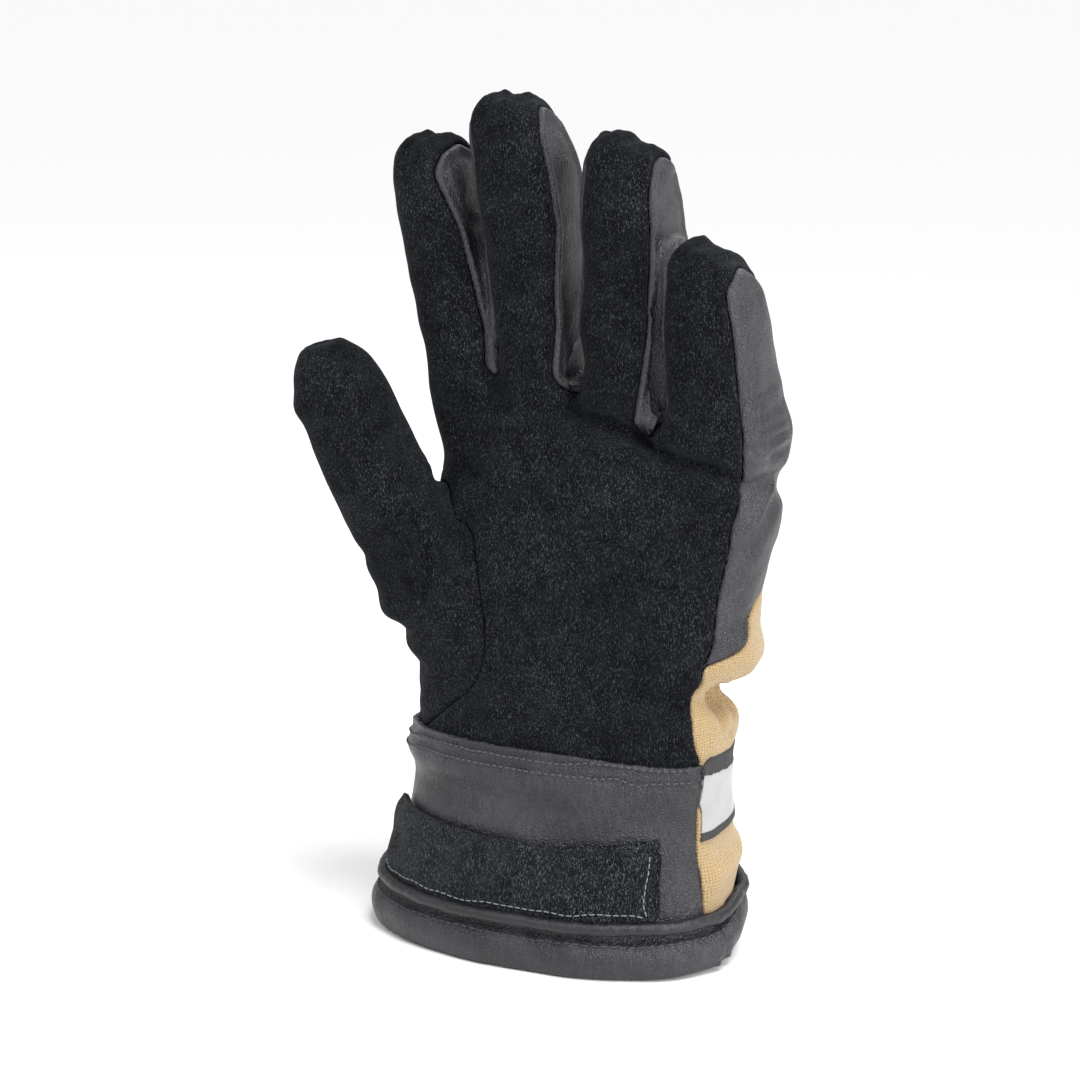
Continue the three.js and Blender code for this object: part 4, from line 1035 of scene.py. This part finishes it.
band_materials = {}
for name, low, high, slot, lie in (
        ("reflective_band", 39.6, 58.9, "band_silver", 0.6),
        ("band_edge_top", 57.7, 59.9, "band_edging", 0.8),
        ("band_edge_bottom", 38.4, 40.6, "band_edging", 0.8)):
    places, faces = sheet(level_line(low), level_line(high), *BAND_TURN, 200, 12, flat_lift, lie)
    tape = object_from("sewn_" + name, places, faces)
    apply_modifier(tape, "SOLIDIFY", thickness=0.0008, offset=-1)
    only(tape)
    bpy.ops.object.shade_smooth_by_angle(angle=math.radians(50))
    if slot not in band_materials:
        material = bpy.data.materials.new(slot)
        material.use_nodes = True
        tree = material.node_tree
        shader = tree.nodes["Principled BSDF"]
        where = add(tree, "TexCoord").outputs["Object"]
        if slot == "band_silver":
            beads = add(tree, "TexVoronoi", Vector=where, Scale=2600.0)
            creases = add(tree, "TexNoise", Vector=where, Scale=120.0, Detail=3.0)
            tone = add(tree, "MapRange", Value=creases.outputs["Fac"], _1=0.3, _2=0.7,
                    _3=0.40, _4=0.46)
            tree.links.new(add(tree, "CombineColor", Red=tone.outputs[0],
                    Green=tone.outputs[0], Blue=tone.outputs[0]).outputs[0],
                    shader.inputs["Base Color"])
            shader.inputs["Metallic"].default_value = 0.45
            shader.inputs["Roughness"].default_value = 0.34
            raised = add(tree, "Math", {"operation": "MULTIPLY_ADD"},
                    _0=creases.outputs["Fac"], _1=3.0, _2=beads.outputs["Distance"])
            tree.links.new(add(tree, "Bump", Strength=0.12, Distance=0.0003,
                    Height=raised.outputs[0]).outputs[0], shader.inputs["Normal"])
        else:
            weave = add(tree, "TexNoise", Vector=where, Scale=1500.0, Detail=2.0)
            tone = add(tree, "MapRange", Value=weave.outputs["Fac"], _1=0.3, _2=0.7, _3=0.022,
                    _4=0.05)
            tree.links.new(add(tree, "CombineColor", Red=tone.outputs[0],
                    Green=tone.outputs[0], Blue=tone.outputs[0]).outputs[0],
                    shader.inputs["Base Color"])
            shader.inputs["Roughness"].default_value = 0.85
            tree.links.new(add(tree, "Bump", Strength=0.6, Distance=0.0003,
                    Height=weave.outputs["Fac"]).outputs[0], shader.inputs["Normal"])
        band_materials[slot] = material
    tape.data.materials.append(band_materials[slot])
    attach(tape, "root")
    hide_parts(name)

# The sewing thread: two rows under the cuff leather's raw edge, one row round the hem below
# the piping, and paler rows along the bottom and the right end of the strap.
def stitch_row(name, tree, start, pitch, thick, material):
    """Stitches along a path, each a short arch of thread that dives into the leather."""
    on, out = settle(tree, start)
    for _ in range(6):
        on[1:-1] = (on[:-2] + 2 * on[1:-1] + on[2:]) / 4
    run = np.concatenate([[0], np.cumsum(np.linalg.norm(np.diff(on, axis=0), axis=1))])
    places, faces = [], []
    for at in np.arange(pitch, run[-1] - pitch, pitch):
        ends = [np.array([np.interp(at + d * pitch, run, on[:, k]) for k in range(3)]) for d in (-0.42,
                -0.24, 0.24, 0.42)]
        way = np.array([np.interp(at, run, out[:, k]) for k in range(3)])
        way /= np.linalg.norm(way)
        forward = ends[3] - ends[0]
        forward /= np.linalg.norm(forward)
        side = np.cross(way, forward)
        base = len(places)
        for end, high, wide in zip(ends, (-0.7, 0.45, 0.45, -0.7), (0.6, 1.0, 1.0, 0.6)):
            for j in range(6):
                angle = j * math.pi / 3
                places.append(
                    end + way * thick * (high + wide * math.sin(angle))
                    + side * thick * wide * math.cos(angle))
        for i in range(3):
            for j in range(6):
                k = (j + 1) % 6
                faces.append((base + i * 6 + j, base + i * 6 + k, base + i * 6 + 6 + k, base + i * 6 + 6 + j))
        faces.append(tuple(base + j for j in reversed(range(6))))
        faces.append(tuple(base + 18 + j for j in range(6)))
    row = object_from(name, places, faces)
    only(row)
    bpy.ops.object.mode_set(mode="EDIT")
    bpy.ops.mesh.select_all(action="SELECT")
    bpy.ops.mesh.normals_make_consistent(inside=False)
    bpy.ops.object.mode_set(mode="OBJECT")
    bpy.ops.object.shade_smooth()
    row.data.materials.append(material)
    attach(row, "root")


def thread(name, colour):
    material = bpy.data.materials.new(name)
    material.use_nodes = True
    tree = material.node_tree
    shader = tree.nodes["Principled BSDF"]
    where = add(tree, "TexCoord").outputs["Object"]
    plies = add(tree, "TexNoise", Vector=where, Scale=3500.0, Detail=1.0)
    tone = add(tree, "Mix", {"data_type": "RGBA"}, _0=plies.outputs["Fac"],
            _6=tuple(c * 0.55 for c in colour) + (1,), _7=tuple(c * 1.5 for c in colour) + (1,))
    tree.links.new(tone.outputs[2], shader.inputs["Base Color"])
    shader.inputs["Roughness"].default_value = 0.6
    tree.links.new(add(tree, "Bump", Strength=0.5, Distance=0.0001,
            Height=plies.outputs["Fac"]).outputs[0], shader.inputs["Normal"])
    return material


dark_thread = thread("dark_thread", (0.05, 0.05, 0.058))
pale_thread = thread("pale_thread", (0.16, 0.19, 0.20))
cuff_only = surface(cuff)
across = np.radians(np.linspace(184, 335.5, 160))
for number, drop in enumerate((1.9, 5.6)):
    line = cuff_top(60 * np.cos(across)) - drop + 0.15 * np.sin(across * 9 + number)
    stitch_row("cuff_stitches_%d" % (number + 1), cuff_only, body_point(line, across, 4.0), 2.4, 0.40,
            dark_thread)
round_about = np.linspace(0, 2 * math.pi, 500)
stitch_row("hem_stitches", surface(hem), body_point(np.full(500, 13.4), round_about, 3.0), 3.1, 0.32,
        dark_thread)
strap_surface = surface(strap)
s = np.linspace(0.015, 0.965, 150)
bottom = body_point(strap_low(s) + 1.7, np.radians(200 + 118 * s), 9.0)
stitch_row("strap_stitches_bottom", strap_surface, bottom, 2.6, 0.22, pale_thread)
up = np.linspace(0.06, 0.97, 40)
end = body_point(strap_low(1.0) + (strap_high(np.ones(1))[0] - strap_low(1.0)) * up,
        np.radians(np.full(40, 200 + 118 * 0.955)), 9.0)
stitch_row("strap_stitches_end", strap_surface, end, 2.3, 0.24, pale_thread)

# The studio: a pale floor under the mouth of the cuff, soft lights and the camera.
only(palm)
bpy.ops.mesh.primitive_plane_add(size=80, location=(0, 0, 0))
floor = bpy.context.object
floor.name = "studio_floor"
lowest = min(v.co.z for v in hem.data.vertices)
for corner_vertex in floor.data.vertices:
    corner_vertex.co.z = lowest - 0.0005
pale = bpy.data.materials.new("pale_floor")
pale.use_nodes = True
pale.node_tree.nodes["Principled BSDF"].inputs["Base Color"].default_value = (0.93, 0.93, 0.93, 1)
pale.node_tree.nodes["Principled BSDF"].inputs["Roughness"].default_value = 0.9
floor.data.materials.append(pale)

world = bpy.data.worlds.new("studio")
bpy.context.scene.world = world
world.use_nodes = True
world.node_tree.nodes["Background"].inputs["Color"].default_value = (1, 1, 1, 1)
world.node_tree.nodes["Background"].inputs["Strength"].default_value = 0.5

for name, place, size, power in (
        ("side", (1.0, -0.42, 0.5), 0.5, 9.0),
        ("front", (-0.6, -0.95, 0.95), 0.5, 6.0),
        ("behind", (0.1, 0.9, 0.9), 0.7, 4.0)):
    lamp = bpy.data.lights.new(name, "AREA")
    lamp.size = size
    lamp.energy = power
    light = bpy.data.objects.new(name, lamp)
    bpy.context.scene.collection.objects.link(light)
    light.location = place
    light.rotation_euler = (Vector((0, 0, 0.12)) - Vector(place)).to_track_quat("-Z", "Y").to_euler()

high_sun = bpy.data.objects.new("overhead", bpy.data.lights.new("overhead", "SUN"))
high_sun.data.energy = 1.9
high_sun.data.angle = math.radians(25)
high_sun.rotation_euler = Vector((0.35, -0.25, 1.0)).to_track_quat("Z", "Y").to_euler()
bpy.context.scene.collection.objects.link(high_sun)

camera = bpy.data.objects.new("camera", bpy.data.cameras.new("camera"))
bpy.context.scene.collection.objects.link(camera)
AZIMUTH, ELEVATION, DISTANCE = math.radians(27), math.radians(12.5), 0.9
AIM = Vector((-0.0075, 0, 0.1256))
away = Vector((math.sin(AZIMUTH) * math.cos(ELEVATION), -math.cos(AZIMUTH) * math.cos(ELEVATION),
        math.sin(ELEVATION)))
camera.location = AIM + away * DISTANCE
camera.rotation_euler = away.to_track_quat("Z", "Y").to_euler()
camera.data.sensor_width = 36
camera.data.lens = 90.9
bpy.context.scene.camera = camera
bpy.context.scene.view_settings.view_transform = "Standard"
